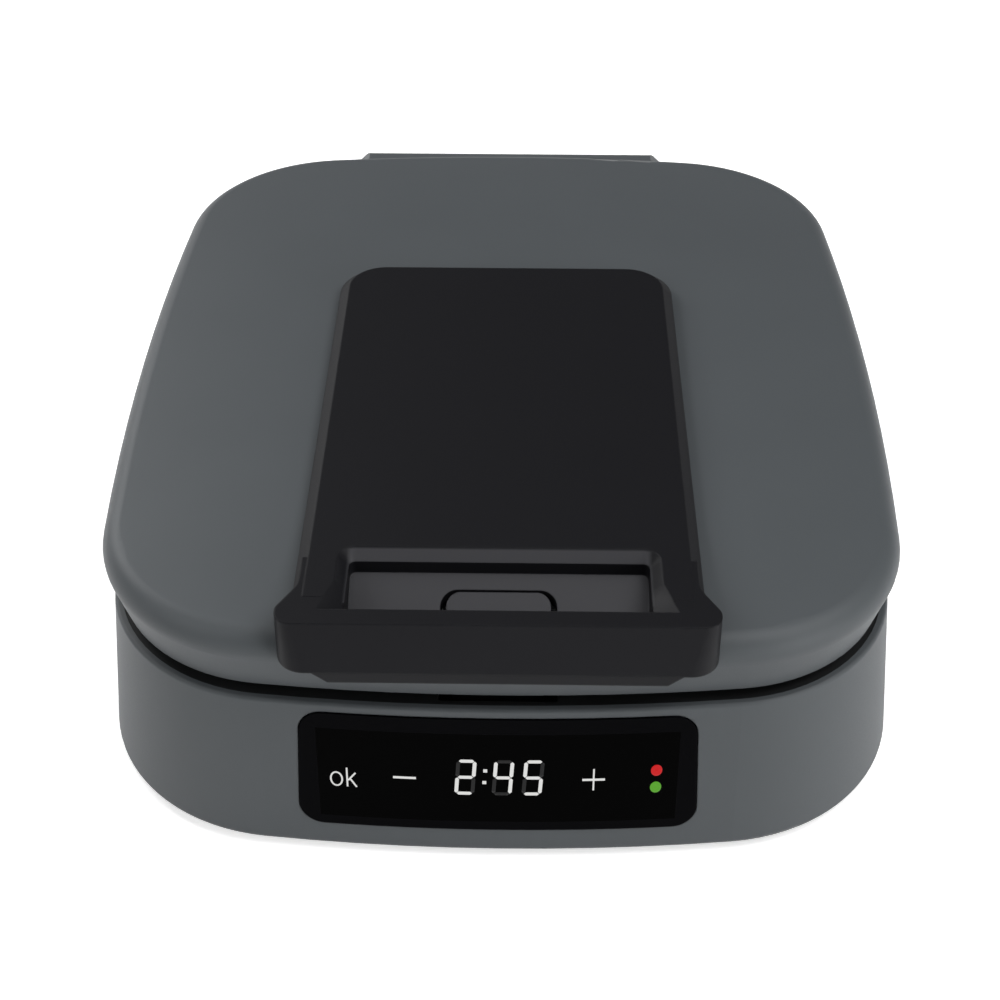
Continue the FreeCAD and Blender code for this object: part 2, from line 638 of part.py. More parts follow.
screws("bottom_screws", "XY", COVER_LOW + " - 1.9", BOSS_PLACES, "3", "1.85", "dims.screw_radius", "14")
screws("lower_plate_screws", "XY", DECK_LOW + " - 1.7", LOWER_SCREWS, "2.3", "1.65", "1.25", "4.6")
screws("board_screws", "XZ", BOARD_BACK + " - 1.4", BOARD_PLACES, "2", "1.35", "1", "7")
screws("power_screws", "XY", COVER_TOP + " + 6 + 1.6 + 1.4", POWER_PLACES, "2", "1.35", "1", "6", flip=True)


# Cooking plates: a flange, a thicker casting, four sandwich places and a cutting ridge across each.
def plate(label, face, up):
    """A cooking plate whose face lies at a height and whose back points up or down."""
    body = new_body(label + "_body")
    sign = "+" if up else "-"
    flange = profile(body, "XY", face, plate_plan("0"), label + "_flange")
    pad(body, flange, "dims.plate_flange", label + "_flange_pad", flip=not up)
    casting = profile(body, "XY", face, plate_plan("dims.plate_step"), label + "_casting")
    pad(body, casting, "dims.plate_thickness", label + "_casting_pad", flip=not up)
    floor = "%s %s dims.pocket_depth" % (face, sign)
    edge, web = "(dims.plate_step + 4)", "3"
    middle = "((" + PLATE_BACK + " - " + PLATE_FRONT + ") / 2)"
    side = "(%s - %s)" % (PLATE_HALF_WIDTH, edge)
    columns = (("-" + side, "-" + web), (web, side))
    rows = (("-(%s - %s)" % (PLATE_FRONT, edge), "%s - %s" % (middle, web)),
            ("%s + %s" % (middle, web), "%s - %s" % (PLATE_BACK, edge)))
    for i, (x0, x1) in enumerate(columns):
        for j, (y0, y1) in enumerate(rows):
            name = "%s_place%d%d" % (label, i, j)
            mouth = profile(body, "XY", face, rect(x0, x1, y0, y1, "12"), name + "_mouth")
            bed = profile(body, "XY", floor, rect(
                x0 + " + 4", x1 + " - 4", y0 + " + 4", y1 + " - 4", "9"), name + "_bed")
            loft(body, mouth, bed, name + "_cut", "SubtractiveLoft")
            # The ridge runs from corner to corner, so each sandwich comes out as two triangles.
            left, right = (x0, x1) if i == j else (x1, x0)
            inward = "+" if i == j else "-"
            outward = "-" if i == j else "+"
            ridge = profile(body, "XY", floor, [
                ("%s %s 4" % (left, inward), y0 + " + 4"), ("%s %s 8" % (left, inward), y0 + " + 4"),
                ("%s %s 4" % (right, outward), y1 + " - 8"), ("%s %s 4" % (right, outward), y1 + " - 4"),
                ("%s %s 8" % (right, outward), y1 + " - 4"), ("%s %s 4" % (left, inward), y0 + " + 8"),
            ], name + "_ridge")
            pad(body, ridge, "dims.pocket_depth - 2.4", name + "_ridge_pad", flip=up)
    screw_back = "%s %s (dims.plate_flange + 1)" % (face, sign)
    holes = circles(body, "XY", screw_back, [p + ("1.3",) for p in LOWER_SCREWS], label + "_holes")
    pocket(body, holes, "3.4", label + "_hole_cut", flip=not up)
    return finish(body, label)


LOWER_FACE = "(%s - dims.plate_parting / 2)" % SEAM
UPPER_FACE = "(%s + dims.plate_parting / 2)" % SEAM
plate("lower_plate", LOWER_FACE, False)
plate("upper_plate", UPPER_FACE, True)


def element(label, height):
    """A tubular heating element bent into a U, at a height."""
    body = new_body(label + "_body")
    path = new_sketch(body, "XY", height, label + "_path")
    wide = num("dims.element_half_width")
    bend, end = num(PLATE_BACK) - 82, 18 - num(PLATE_FRONT)
    path.addGeometry(Part.LineSegment(V(-wide, end, 0), V(-wide, bend, 0)), False)
    path.addGeometry(Part.ArcOfCircle(Part.Circle(V(0, bend, 0), V(0, 0, 1), wide), 0, math.pi), False)
    path.addGeometry(Part.LineSegment(V(wide, bend, 0), V(wide, end, 0)), False)
    link(path, "Tangent", 0, 2, 1, 2)
    link(path, "Tangent", 1, 1, 2, 1)
    link(path, "Vertical", 0)
    link(path, "Vertical", 2)
    link(path, "PointOnObject", 1, 3, -2)
    fix(path, "Radius", "dims.element_half_width", 1)
    fix(path, "DistanceY", PLATE_BACK + " - 82", -1, 1, 1, 3)
    fix(path, "DistanceY", "18 - " + PLATE_FRONT, -1, 1, 0, 1)
    fix(path, "DistanceY", "18 - " + PLATE_FRONT, -1, 1, 2, 2)
    tube = circles(body, "XZ", PLATE_FRONT + " - 18", [
        ("-dims.element_half_width", height, "dims.element_radius")], label + "_tube")
    doc.recompute()
    pipe = feature(body, "AdditivePipe", tube, label + "_pipe")
    pipe.Spine = (path, ["Edge1", "Edge2", "Edge3"])
    path.Visibility = False
    pins = circles(body, "XZ", PLATE_FRONT + " - 18.5", mirrored([
        ("dims.element_half_width", height, "dims.element_radius * 0.45")]), label + "_pins")
    pad(body, pins, "8", label + "_pin_pad")
    return finish(body, label)


LOWER_BACK = "(%s - dims.plate_thickness)" % LOWER_FACE
UPPER_BACK = "(%s + dims.plate_thickness)" % UPPER_FACE
element("lower_element", "(%s - dims.element_radius - 0.2)" % LOWER_BACK)
element("upper_element", "(%s + dims.element_radius + 0.2)" % UPPER_BACK)


def shield(label, back, up):
    """A sheet tray that closes the back of a plate over its element."""
    body = new_body(label + "_body")
    depth = "(2 * dims.element_radius + 1.4)"
    rim = back + (" + 0.15" if up else " - 0.15")
    outside = profile(body, "XY", rim, plate_plan("dims.plate_step + 3"), label + "_outside")
    pad(body, outside, depth, label + "_pad", flip=not up)
    inside = profile(body, "XY", rim, plate_plan("dims.plate_step + 3.8"), label + "_inside")
    pocket(body, inside, depth + " - 0.8", label + "_cut", flip=up)
    return finish(body, label)


shield("lower_shield", LOWER_BACK, False)
shield("upper_shield", UPPER_BACK, True)

# Temperature sensors on the plates' backs, and a thermal fuse beside the lower one.
finish(rods("lower_sensor_body", "XY", LOWER_BACK + " - 0.2", [("0", "10", "8")], "4.6", flip=True),
    "lower_sensor")
finish(rods("upper_sensor_body", "XY", UPPER_BACK + " + 0.2", [("0", "10", "8")], "4.6"), "upper_sensor")
finish(rods("thermal_fuse_body", "YZ", "0", [("-40", LOWER_BACK + " - 2.4", "2.2")], "16", middle=True),
    "thermal_fuse")

# Display: a curved glossy panel cut from the base's own form, with its board, digits and lights behind it.
display_prism = extrude("display_prism", "XZ", FRONT_PLANE, display_plan("0"), "36", middle=True)
display_front = base_form("display_front", "dims.display_proud", BASE_LOW + " - 1", BASE_TOP + " + 1")
display_back = base_form("display_back", "-dims.display_thickness", BASE_LOW + " - 2", BASE_TOP + " + 2")
finish(cut("display_panel", common("display_blank", display_prism, display_front), display_back),
    "display_panel")

board_plate = extrude("board_plate", "XZ", BOARD_BACK,
                      rect("-58.5", "58.5", DISPLAY_LOW + " + 0.2", DISPLAY_HIGH + " - 9.6", "2"), "1.6")
board_holes = rods("board_holes", "XZ", BOARD_BACK + " - 1", [p + ("1.2",) for p in BOARD_PLACES], "4")
finish(cut("control_board", board_plate, board_holes), "control_board")
MID_HEIGHT = "((" + DISPLAY_LOW + " + " + DISPLAY_HIGH + ") / 2)"
BOARD_FRONT = BOARD_BACK + " + 1.65"
digit_block = new_body("digit_block")
block = profile(digit_block, "XZ", BOARD_FRONT, rect("-19", "19", MID_HEIGHT + " - 9.5",
    MID_HEIGHT + " + 9.5", "1"), "digit_plan")
pad(digit_block, block, "8.6", "digit_pad")
finish(digit_block, "digit_module")
finish(rods("lights_body", "XZ", BOARD_FRONT, [
    ("47", MID_HEIGHT + " + 3.2", "2"), ("47", MID_HEIGHT + " - 4.2", "2")], "8.4"), "indicator_lights")
finish(rods("touch_body", "XZ", BOARD_FRONT, [
    (x, MID_HEIGHT, "3") for x in ("-43", "-28", "28.4")], "8.3"), "touch_pads")

# Power board on the cover's posts, with its relay.
power_plate = extrude("power_plate", "XY", COVER_TOP + " + 6.05", rect("-72", "-14", "34", "102", "2"),
    "1.6")
power_plate_holes = rods("power_plate_holes", "XY", COVER_TOP + " + 5",
    [p + ("1.2",) for p in POWER_PLACES], "5")
finish(cut("power_board", power_plate, power_plate_holes), "power_board")
finish(extrude("relay_body", "XY", COVER_TOP + " + 7.7", rect("-52", "-33", "56", "84", "1"), "15"),
    "power_relay")

# Hinge pin, and the bush that the cord would pass through.
PIN_HALF = "(" + HINGE_HALF_WIDTH + " + 0.5 + dims.ear_width - 2.4)"
finish(rods("hinge_pin_body", "YZ", "0", [(HINGE_BACK, HINGE_HEIGHT, "dims.hinge_pin_radius")],
            "2 * " + PIN_HALF, middle=True), "hinge_pin")
gland = rods("gland_flange", "XZ", "-(%s + 0.1)" % GLAND_FACE, [GLAND + ("8.5",)], "2.4", flip=True)
stem = circles(gland, "XZ", "-(%s + 1)" % GLAND_FACE, [GLAND + ("6",)], "gland_stem")
pad(gland, stem, "11.5", "gland_stem_pad")
barb = circles(gland, "XZ", "-(%s - 8)" % GLAND_FACE, [GLAND + ("7",)], "gland_barb")
pad(gland, barb, "2", "gland_barb_pad")
bore = circles(gland, "XZ", "-(%s + 5)" % GLAND_FACE, [GLAND + ("dims.gland_bore_radius",)], "gland_bore")
pocket(gland, bore, "20", "gland_bore_cut", flip=True)
finish(gland, "cord_gland")

# Lid cover: shell, bosses for the liner, a notch for the handle's core, screw holes.
LINER_LOW = "(%s + 0.6)" % LID_LOW
LINER_LEDGE = "(%s + dims.plate_flange + 0.1)" % UPPER_FACE
LINER_TOP = "(%s + dims.plate_flange + 2.6)" % UPPER_FACE
LINER_BOSSES = mirrored([
    ("dims.lid_half_width - 45", "21 - dims.lid_half_depth"),
    ("dims.lid_half_width - 65", PLATE_BACK + " + 6")])


liner_bosses = []
for i, (x, y) in enumerate(LINER_BOSSES):
    liner_bosses.append(rods("liner_boss%d" % i, "XY", LINER_TOP + " + 0.1", [(x, y, "3")],
                             "%s + 1.5 - dims.lid_wall - %s" % (SHOULDER, LINER_TOP)))
liner_bores = rods("liner_bores", "XY", LINER_TOP, [p + ("1.3",) for p in LINER_BOSSES], "8")
BAR_SEAT = "(%s + 0.7)" % BAR_LOW
NOTCH_BACK = "(" + RECESS_BACK + " - 8.3)"
notch = extrude("notch", "YZ", "0", [
    ("-" + BAR_FRONT + " - 9", BAR_SEAT), ("-" + NOTCH_BACK, BAR_SEAT),
    ("-" + NOTCH_BACK, CROWN + " + 9"), ("-" + BAR_FRONT + " - 9", CROWN + " + 9")],
    "2 * " + NOTCH_HALF_WIDTH, middle=True)
HANDLE_SCREWS = mirrored([
    ("dims.panel_half_width - 13.5", "dims.panel_back - 14"),
    ("dims.panel_half_width - 13.5", "38.2 - " + RECESS_BACK)])
handle_holes = rods("handle_holes", "XY", CROWN + " - 14", [p + ("1.7",) for p in HANDLE_SCREWS], "16")
HINGE_SCREWS = mirrored([("30", LID_LOW + " + 9")])
hinge_holes = rods("hinge_holes", "XZ", "-(dims.lid_half_depth + 1)", [p + ("1.7",) for p in HINGE_SCREWS],
    "12")
lid_shell = cut("lid_shell", lid_outer, lid_room)
finish(cut("lid_cover", fuse("lid_solid", lid_shell, *liner_bosses), notch, liner_bores, handle_holes,
    hinge_holes),
       "lid_cover")

# Liner: the frame under the lid that holds the upper plate and lets the latch through.
liner = new_body("liner_plate")
LINER_FIT = "-(dims.lid_wall + 0.3)"
liner_low = outline(liner, LINER_LOW, wall_inset(LINER_LOW, LINER_FIT), "liner_low")
liner_high = outline(liner, LINER_TOP, wall_inset(LINER_TOP, LINER_FIT), "liner_high")
loft(liner, liner_low, liner_high, "liner_loft")
liner_rebate = extrude("liner_rebate", "XY", LINER_LEDGE, plate_plan("-0.4"), "20", flip=True)
liner_opening = extrude("liner_opening", "XY", LINER_LOW + " - 5", plate_plan("dims.plate_step - 0.5"),
    "20")
liner_slot = extrude("liner_slot", "XY", LINER_LOW + " - 5", rect(
    "-" + CATCH_HALF_WIDTH + " - 1", CATCH_HALF_WIDTH + " + 1",
    "0.4 - " + CATCH_FRONT, "11 - " + CATCH_FRONT, "1"), "20")
liner_holes = rods("liner_holes", "XY", LINER_LOW + " - 1", [p + ("1.5",) for p in LINER_BOSSES], "12")
liner_screw_holes = rods("liner_screw_holes", "XY", LINER_LOW + " - 1",
    [p + ("1.3",) for p in LOWER_SCREWS], "12")
finish(cut("lid_liner", liner, liner_rebate, liner_opening, liner_slot, liner_holes, liner_screw_holes),
    "lid_liner")
screws("liner_screws", "XY", LINER_LOW + " - 1.6", LINER_BOSSES, "2.8", "1.55", "1.25", "9")
screws("upper_plate_screws", "XY", LINER_TOP + " + 1.7", LOWER_SCREWS, "2.3", "1.65", "1.25", "4.6",
    flip=True)

# Handle: a bevelled panel on the lid that runs into a grip bar in front of it.
handle = new_body("handle_form")
PANEL_END = "-(" + RECESS_FRONT + " - 5)"
SLAB_LOW = "(%s - 21)" % PANEL_TOP
BEVEL_LOW = "(%s - dims.panel_bevel_height)" % PANEL_TOP


def panel_plan(inset):
    wide = "(dims.panel_half_width - %s)" % inset
    corner = "dims.panel_corner - %s" % inset
    back = "dims.panel_back - %s" % inset
    return [("-" + wide, PANEL_END), (wide, PANEL_END), (wide, back, corner), ("-" + wide, back, corner)]


slab = profile(handle, "XY", SLAB_LOW, panel_plan("0"), "panel_slab")
pad(handle, slab, "21 - dims.panel_bevel_height", "panel_slab_pad")
bevel_low = profile(handle, "XY", BEVEL_LOW, panel_plan("0"), "panel_bevel_low")
bevel_high = profile(handle, "XY", PANEL_TOP, panel_plan("dims.panel_bevel"), "panel_bevel_high")
loft(handle, bevel_low, bevel_high, "panel_bevel_loft")


def grip_plan(front, corner):
    """The grip bar in plan: two necks that run out into a bar with round corners."""
    wide, neck = GRIP_HALF_WIDTH, NECK_HALF_WIDTH
    shoulder = "dims.grip_lean + 6.5 - " + BAR_FRONT
    right = [
        (neck, shoulder + " + 21.7"), (neck, shoulder + " + 9.6", "11"), (wide, shoulder, "3.5"),
        (wide, front, corner),
    ]
    left = [("-" + p[0],) + p[1:] for p in right[::-1]]
    return (right + left)[::-1]


# The grip's front leans back: its plan is shorter at the top.
grip_low = profile(handle, "XY", BAR_LOW, grip_plan("-" + BAR_FRONT, "dims.grip_corner + 3.6"), "grip_low")
grip_top = grip_plan("dims.grip_lean - " + BAR_FRONT, "dims.grip_corner")
grip_high = profile(handle, "XY", PANEL_TOP + " - 0.1", grip_top, "grip_high")
loft(handle, grip_low, grip_high, "grip_loft")
seated = cut("handle_seated", handle, lid_mould)
# The core fills the lid's notch, and the recess and the latch's room are cut into it.
CORE_BACK = "(-%s - 0.3)" % NOTCH_BACK
CORE_WIDE = "2 * " + NOTCH_HALF_WIDTH + " - 0.6"
core_top = extrude("core_top", "YZ", "0", rect(
    "dims.grip_lean + 3 - " + BAR_FRONT, CORE_BACK, BAR_SEAT + " + 0.3", PANEL_TOP + " - 3.5"), CORE_WIDE,
    middle=True)
core_low = extrude("core_low", "YZ", "0", rect(
    "-dims.lid_half_depth", CORE_BACK, LATCH_PIVOT_HEIGHT + " - 5.5", BAR_SEAT + " + 0.8"), CORE_WIDE,
    middle=True)
core_mould = lid_form("core_mould", "-(dims.lid_wall + 0.3)", LID_LOW + " - 2")
core = fuse("handle_core", core_top, common("core_fitted", core_low, core_mould))

recess = new_body("recess")
RECESS_MID = "(%s - dims.recess_bevel)" % PANEL_TOP


def recess_plan(grow, corner):
    """The recess in plan: straight at the back, opening a little towards the grip bar."""
    wide = "(%s + %s)" % (RECESS_HALF_WIDTH, grow)
    mouth = "(%s + 2.3 * (%s))" % (RECESS_HALF_WIDTH, grow)
    back = "-(%s - (%s))" % (RECESS_BACK, grow)
    bend = "12 - " + RECESS_FRONT
    return [("-" + mouth, "-" + RECESS_FRONT), (mouth, "-" + RECESS_FRONT), (wide, bend),
        (wide, back, corner),
            ("-" + wide, back, corner), ("-" + wide, bend)]


well = profile(recess, "XY", PANEL_TOP + " - 30", recess_plan("0", "2"), "recess_well")
pad(recess, well, "30 - dims.recess_bevel", "recess_well_pad")
brim_low = profile(recess, "XY", RECESS_MID, recess_plan("0", "2"), "recess_brim_low")
brim_high = profile(recess, "XY", PANEL_TOP + " + 0.8", recess_plan("dims.recess_bevel + 0.8", "6"),
    "recess_brim_high")
loft(recess, brim_low, brim_high, "recess_brim")


def floor_at(y):
    """The height of the recess's sloping floor at a distance in front of the middle."""
    return "(%s - dims.recess_depth - dims.recess_slope * ((%s) - %s))" % (PANEL_TOP, y, RECESS_BACK)


FAR, NEAR = "(" + RECESS_FRONT + " + 1)", "(" + RECESS_BACK + " - 5)"
below = profile(recess, "YZ", "0", [
    ("-" + FAR, PANEL_TOP + " - 31"), ("-" + NEAR, PANEL_TOP + " - 31"),
    ("-" + NEAR, floor_at(NEAR)), ("-" + FAR, floor_at(FAR))], "recess_floor")
pocket(recess, below, "200", "recess_floor_cut", middle=True)

WELL_HALF = "(dims.latch_pad_half_width + dims.latch_pad_gap)"
PAD_BACK = "(" + RECESS_BACK + " + 6.2)"
pad_hole = extrude("pad_hole", "XY", LATCH_PIVOT_HEIGHT + " - 12", [
    ("-" + WELL_HALF, "-" + RECESS_FRONT), (WELL_HALF, "-" + RECESS_FRONT),
    (WELL_HALF, "1.2 - " + PAD_BACK, "5"), ("-" + WELL_HALF, "1.2 - " + PAD_BACK, "5")], "30")
ROOM_BACK = "(" + LATCH_PIVOT_FRONT + " - 5.5)"
ROOM_TOP = "(" + LATCH_PIVOT_HEIGHT + " + 7.1)"
latch_room = extrude("latch_room", "YZ", "0", [
    ("-" + RECESS_FRONT, LATCH_PIVOT_HEIGHT + " - 12"), ("-" + ROOM_BACK, LATCH_PIVOT_HEIGHT + " - 12"),
    ("-" + ROOM_BACK, ROOM_TOP), ("-" + RECESS_BACK + " - 4.2", ROOM_TOP),
    ("-" + RECESS_FRONT, floor_at(RECESS_FRONT) + " - 1.4")], "2 * " + WELL_HALF, middle=True)
# The core is hollow beside the latch's room, with walls of about 2.5.
side_rooms = []
for flip in (False, True):
    start = ("-" if flip else "") + "(%s + 2.4)" % WELL_HALF
    side_rooms.append(extrude("core_room_left" if flip else "core_room_right", "YZ", start, [
        ("2.4 - " + RECESS_FRONT, LATCH_PIVOT_HEIGHT + " - 12"),
        ("-" + ROOM_BACK, LATCH_PIVOT_HEIGHT + " - 12"),
        ("-" + ROOM_BACK, floor_at(ROOM_BACK) + " - 2.6"),
        ("2.4 - " + RECESS_FRONT, floor_at(RECESS_FRONT + " - 2.4") + " - 2.6")],
        "%s - 3 - %s - 2.4" % (NOTCH_HALF_WIDTH, WELL_HALF), flip=flip))
LATCH = ("-" + LATCH_PIVOT_FRONT, LATCH_PIVOT_HEIGHT)
latch_bore = rods("latch_bore", "YZ", "0", [LATCH + ("dims.latch_pin_radius + dims.running_fit",)],
                  "2 * (%s + 2.2)" % WELL_HALF, middle=True)
TRIM_FRONT = "(%s - 1.5)" % BAR_FRONT
trim_groove = extrude("trim_groove", "YZ", "0", rect(
    "0.4 - " + TRIM_FRONT, "1.5 - " + TRIM_FRONT, BAR_LOW + " - 2", BAR_LOW + " + 3"), "94", middle=True)
handle_bores = rods("handle_bores", "XY", CROWN + " - 14",
    [p + ("dims.screw_radius + 0.02",) for p in HANDLE_SCREWS], "18.4")
finish(cut("handle_panel", fuse("handle_solid", seated, core), recess, pad_hole, latch_room, latch_bore,
    trim_groove,
           handle_bores, *side_rooms), "handle_panel")

# A trim strip under the grip bar, with a tongue in the bar's groove.
trim = new_body("trim_body")
strip = profile(trim, "XZ", TRIM_FRONT, [
    ("-48", BAR_LOW + " - 5"), ("48", BAR_LOW + " - 5"), ("54", BAR_LOW + " - 0.2"),
    ("-54", BAR_LOW + " - 0.2")], "trim_strip")
pad(trim, strip, "1.9", "trim_strip_pad", flip=True)
tongue = profile(trim, "XZ", TRIM_FRONT + " - 0.5", rect("-46", "46", BAR_LOW + " - 1", BAR_LOW + " + 2.8"),
    "trim_tongue")
pad(trim, tongue, "0.9", "trim_tongue_pad", flip=True)
finish(trim, "handle_trim")

# Handle screws come up through the lid, with their heads under its crown.
screws("handle_screws", "XY", CROWN + " - dims.lid_wall - 2.15", HANDLE_SCREWS, "2.9", "2",
    "dims.screw_radius", "6.6")

# Hinge block: barrel and web behind the lid, cut to the lid's form, with sloping ends.
block = new_body("hinge_block_form")
web = profile(block, "YZ", "0", [
    ("dims.lid_half_depth - 7", LID_LOW + " + 1.6"), (HINGE_BACK + " - 7", LID_LOW + " + 1.6"),
    (HINGE_BACK + " - 5", HINGE_HEIGHT + " + 5"), PIVOT,
    (HINGE_BACK + " + dims.hinge_barrel_radius", HINGE_HEIGHT),
    (HINGE_BACK + " + dims.hinge_barrel_radius", HINGE_HEIGHT + " + 12", "6"),
    (HINGE_BACK + " + 3", CROWN + " - 8.8", "7"), ("dims.lid_half_depth - 7", CROWN + " - 8.8")],
    "hinge_web")
pad(block, web, "2 * " + HINGE_HALF_WIDTH, "hinge_web_pad", middle=True)
barrel = circles(block, "YZ", "0", [PIVOT + ("dims.hinge_barrel_radius",)], "hinge_barrel")
pad(block, barrel, "2 * " + HINGE_HALF_WIDTH, "hinge_barrel_pad", middle=True)
for side in ("", "-"):
    slope = profile(block, "XZ", "-" + HINGE_BACK, [
        (side + "(" + HINGE_HALF_WIDTH + " - 6)", CROWN + " - 7.8"),
        (side + "(" + HINGE_HALF_WIDTH + " + 6)", CROWN + " - 7.8"),
        (side + "(" + HINGE_HALF_WIDTH + " + 6)", CROWN + " - 15.8"),
        (side + HINGE_HALF_WIDTH, CROWN + " - 15.8")],
        "hinge_slope" + ("_left" if side else "_right"))
    pocket(block, slope, "60", slope.Name + "_cut", middle=True)
bore = circles(block, "YZ", "0", [PIVOT + ("dims.hinge_pin_radius + dims.running_fit",)], "hinge_bore")
pocket(block, bore, "4 * " + HINGE_HALF_WIDTH, "hinge_bore_cut", middle=True)
threads = circles(block, "XZ", "-(dims.lid_half_depth - 8)",
    [p + ("dims.screw_radius + 0.02",) for p in HINGE_SCREWS], "hinge_threads")
pocket(block, threads, "16", "hinge_thread_cut")
finish(cut("hinge_block", block, lid_mould), "hinge_block")
BACK_WALL = "(dims.lid_half_depth - (%s) - 0.7)" % wall_inset(LID_LOW + " + 6.2", "-dims.lid_wall")
screws("hinge_screws", "XZ", "-(%s - 2.2)" % BACK_WALL, HINGE_SCREWS, "2.9", "2", "dims.screw_radius", "9",
    flip=True)

EAR_WALL = "(dims.lid_half_depth - dims.rim_inset + dims.base_flare * (%s - %s) / dims.base_height)" % (
    BASE_TOP, EAR_SCREW[1])
EAR_WALL = "(%s - dims.base_wall - %s^2 / (2 * dims.end_bow_radius))" % (EAR_WALL, EAR_SCREW[0])
screws("ear_screws", "XZ", "-(%s - 2.6)" % EAR_WALL, EAR_SCREWS, "2.9", "2", "dims.screw_radius", "6",
    flip=True)

# Latch lever: push pad, web, hub, arm and hook, turning on a pin across the handle's core.
lever = new_body("lever_body")
PAD_FRONT = "(" + RECESS_FRONT + " - 0.9)"
face = profile(lever, "YZ", "0", [
    ("-" + PAD_FRONT, floor_at(PAD_FRONT) + " - 2.6"), ("-" + PAD_BACK, floor_at(PAD_BACK) + " - 2.6"),
    ("-" + PAD_BACK, floor_at(PAD_BACK) + " + 0.7"), ("-" + PAD_FRONT, floor_at(PAD_FRONT) + " + 0.7")],
    "lever_pad_side")
pad(lever, face, "2 * dims.latch_pad_half_width", "lever_pad", middle=True)
pad_back, pad_half = -num(PAD_BACK), num("dims.latch_pad_half_width")
round_edges(lever, lambda p: abs(p.y - pad_back) < 0.1 and abs(abs(p.x) - pad_half) < 0.1, "4.2",
    "lever_pad_corners")
HUB_START = "-(dims.latch_pad_half_width - 0.1)"
HUB_LONG = "(2 * dims.latch_pad_half_width - 6.2)"
hub = circles(lever, "YZ", HUB_START, [LATCH + ("dims.latch_hub_radius",)], "lever_hub")
pad(lever, hub, HUB_LONG, "lever_hub_pad")
arm_web = profile(lever, "YZ", HUB_START, [
    ("-" + LATCH_PIVOT_FRONT + " - 3.5", LATCH_PIVOT_HEIGHT + " - 1.9"),
    ("-" + LATCH_PIVOT_FRONT, LATCH_PIVOT_HEIGHT),
    ("-" + LATCH_PIVOT_FRONT + " - 2", LATCH_PIVOT_HEIGHT + " + 3.4"),
    ("-%s - 1.2" % PAD_BACK, floor_at(PAD_BACK + " + 1.2") + " - 1"),
    ("-%s - 7" % PAD_BACK, floor_at(PAD_BACK + " + 7") + " - 1")], "lever_web")
pad(lever, arm_web, HUB_LONG, "lever_web_pad")
ARM_FRONT, ARM_BACK = "(" + CATCH_FRONT + " - 2.6)", "(" + CATCH_FRONT + " - 5.8)"
arm = profile(lever, "YZ", "0", [
    ("-" + ARM_FRONT, floor_at(ARM_FRONT) + " - 1.2"), ("-" + ARM_FRONT, DECK_LOW + " - 1.9"),
    ("1 - " + CATCH_FRONT, DECK_LOW + " - 1.9"), ("1 - " + CATCH_FRONT, DECK_LOW + " - 3"),
    ("-%s - 0.4" % ARM_FRONT, DECK_LOW + " - 5"), ("-" + ARM_BACK, DECK_LOW + " - 5"),
    ("-" + ARM_BACK, floor_at(ARM_BACK) + " - 1.2")], "lever_arm")
pad(lever, arm, "2 * " + CATCH_HALF_WIDTH + " - 8", "lever_arm_pad", middle=True)
lever_bore = circles(lever, "YZ", "0", [LATCH + ("dims.latch_pin_radius + dims.running_fit",)],
    "lever_bore")
pocket(lever, lever_bore, "80", "lever_bore_cut", middle=True)
finish(lever, "latch_lever")
finish(rods("latch_pin_body", "YZ", "0", [LATCH + ("dims.latch_pin_radius",)], "2 * (%s + 2)" % WELL_HALF,
    middle=True), "latch_pin")

# Return spring: three turns round the latch pin, in the space beside the lever's hub.
spring = new_body("spring_body")
coil = new_sketch(spring, "XZ", LATCH_PIVOT_FRONT, "spring_wire")
coil.AttachmentOffset = FreeCAD.Placement(V(0, num(LATCH_PIVOT_HEIGHT), num(LATCH_PIVOT_FRONT)),
    FreeCAD.Rotation())
coil.setExpression("AttachmentOffset.Base.y", LATCH_PIVOT_HEIGHT)
COIL_START = "dims.latch_pad_half_width - 5.4"
COIL_RADIUS = "dims.latch_pin_radius + 0.9"
coil.addGeometry(Part.Circle(V(num(COIL_START), num(COIL_RADIUS), 0), V(0, 0, 1), 0.4), False)
fix(coil, "DistanceX", COIL_START, -1, 1, 0, 3)
fix(coil, "DistanceY", COIL_RADIUS, -1, 1, 0, 3)
fix(coil, "Radius", "0.4", 0)
doc.recompute()
helix = feature(spring, "AdditiveHelix", coil, "spring_coil")
helix.ReferenceAxis = (coil, ["H_Axis"])
helix.Mode = 0
helix.Pitch = 1.15
helix.Height = 3.9
helix.Turns = 3.9 / 1.15
finish(spring, "latch_spring")

doc.recompute()
os.makedirs("parts", exist_ok=True)
broken = []
for item in doc.Objects:
    if "Invalid" in item.State or "Error" in item.State:
        broken.append("%s: %s" % (item.Name, item.State))
for item, label in finished:
    shape = item.Shape
    if shape.isNull() or not shape.isValid() or shape.Volume <= 0:
        broken.append(label + ": shape")
if broken:
    raise RuntimeError("; ".join(broken))
for item, label in finished:
    item.Shape.exportStep("parts/%s.step" % label)
    print(label, len(item.Shape.Solids), round(item.Shape.Volume / 1000, 2))
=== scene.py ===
"""Looks of a table-top sandwich maker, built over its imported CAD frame.

The CAD nodes give the solid forms. This file dresses every node with a procedural finish, and adds the
thin signs of the touch display, which lie on its curved front. Lengths in the classes are
millimetres in the frame's axes: +X to the right, +Y to the hinge at the back, +Z up from the table.
"""

from __future__ import annotations

import json
import logging
import math
from dataclasses import dataclass, field
from enum import Enum
from typing import Any

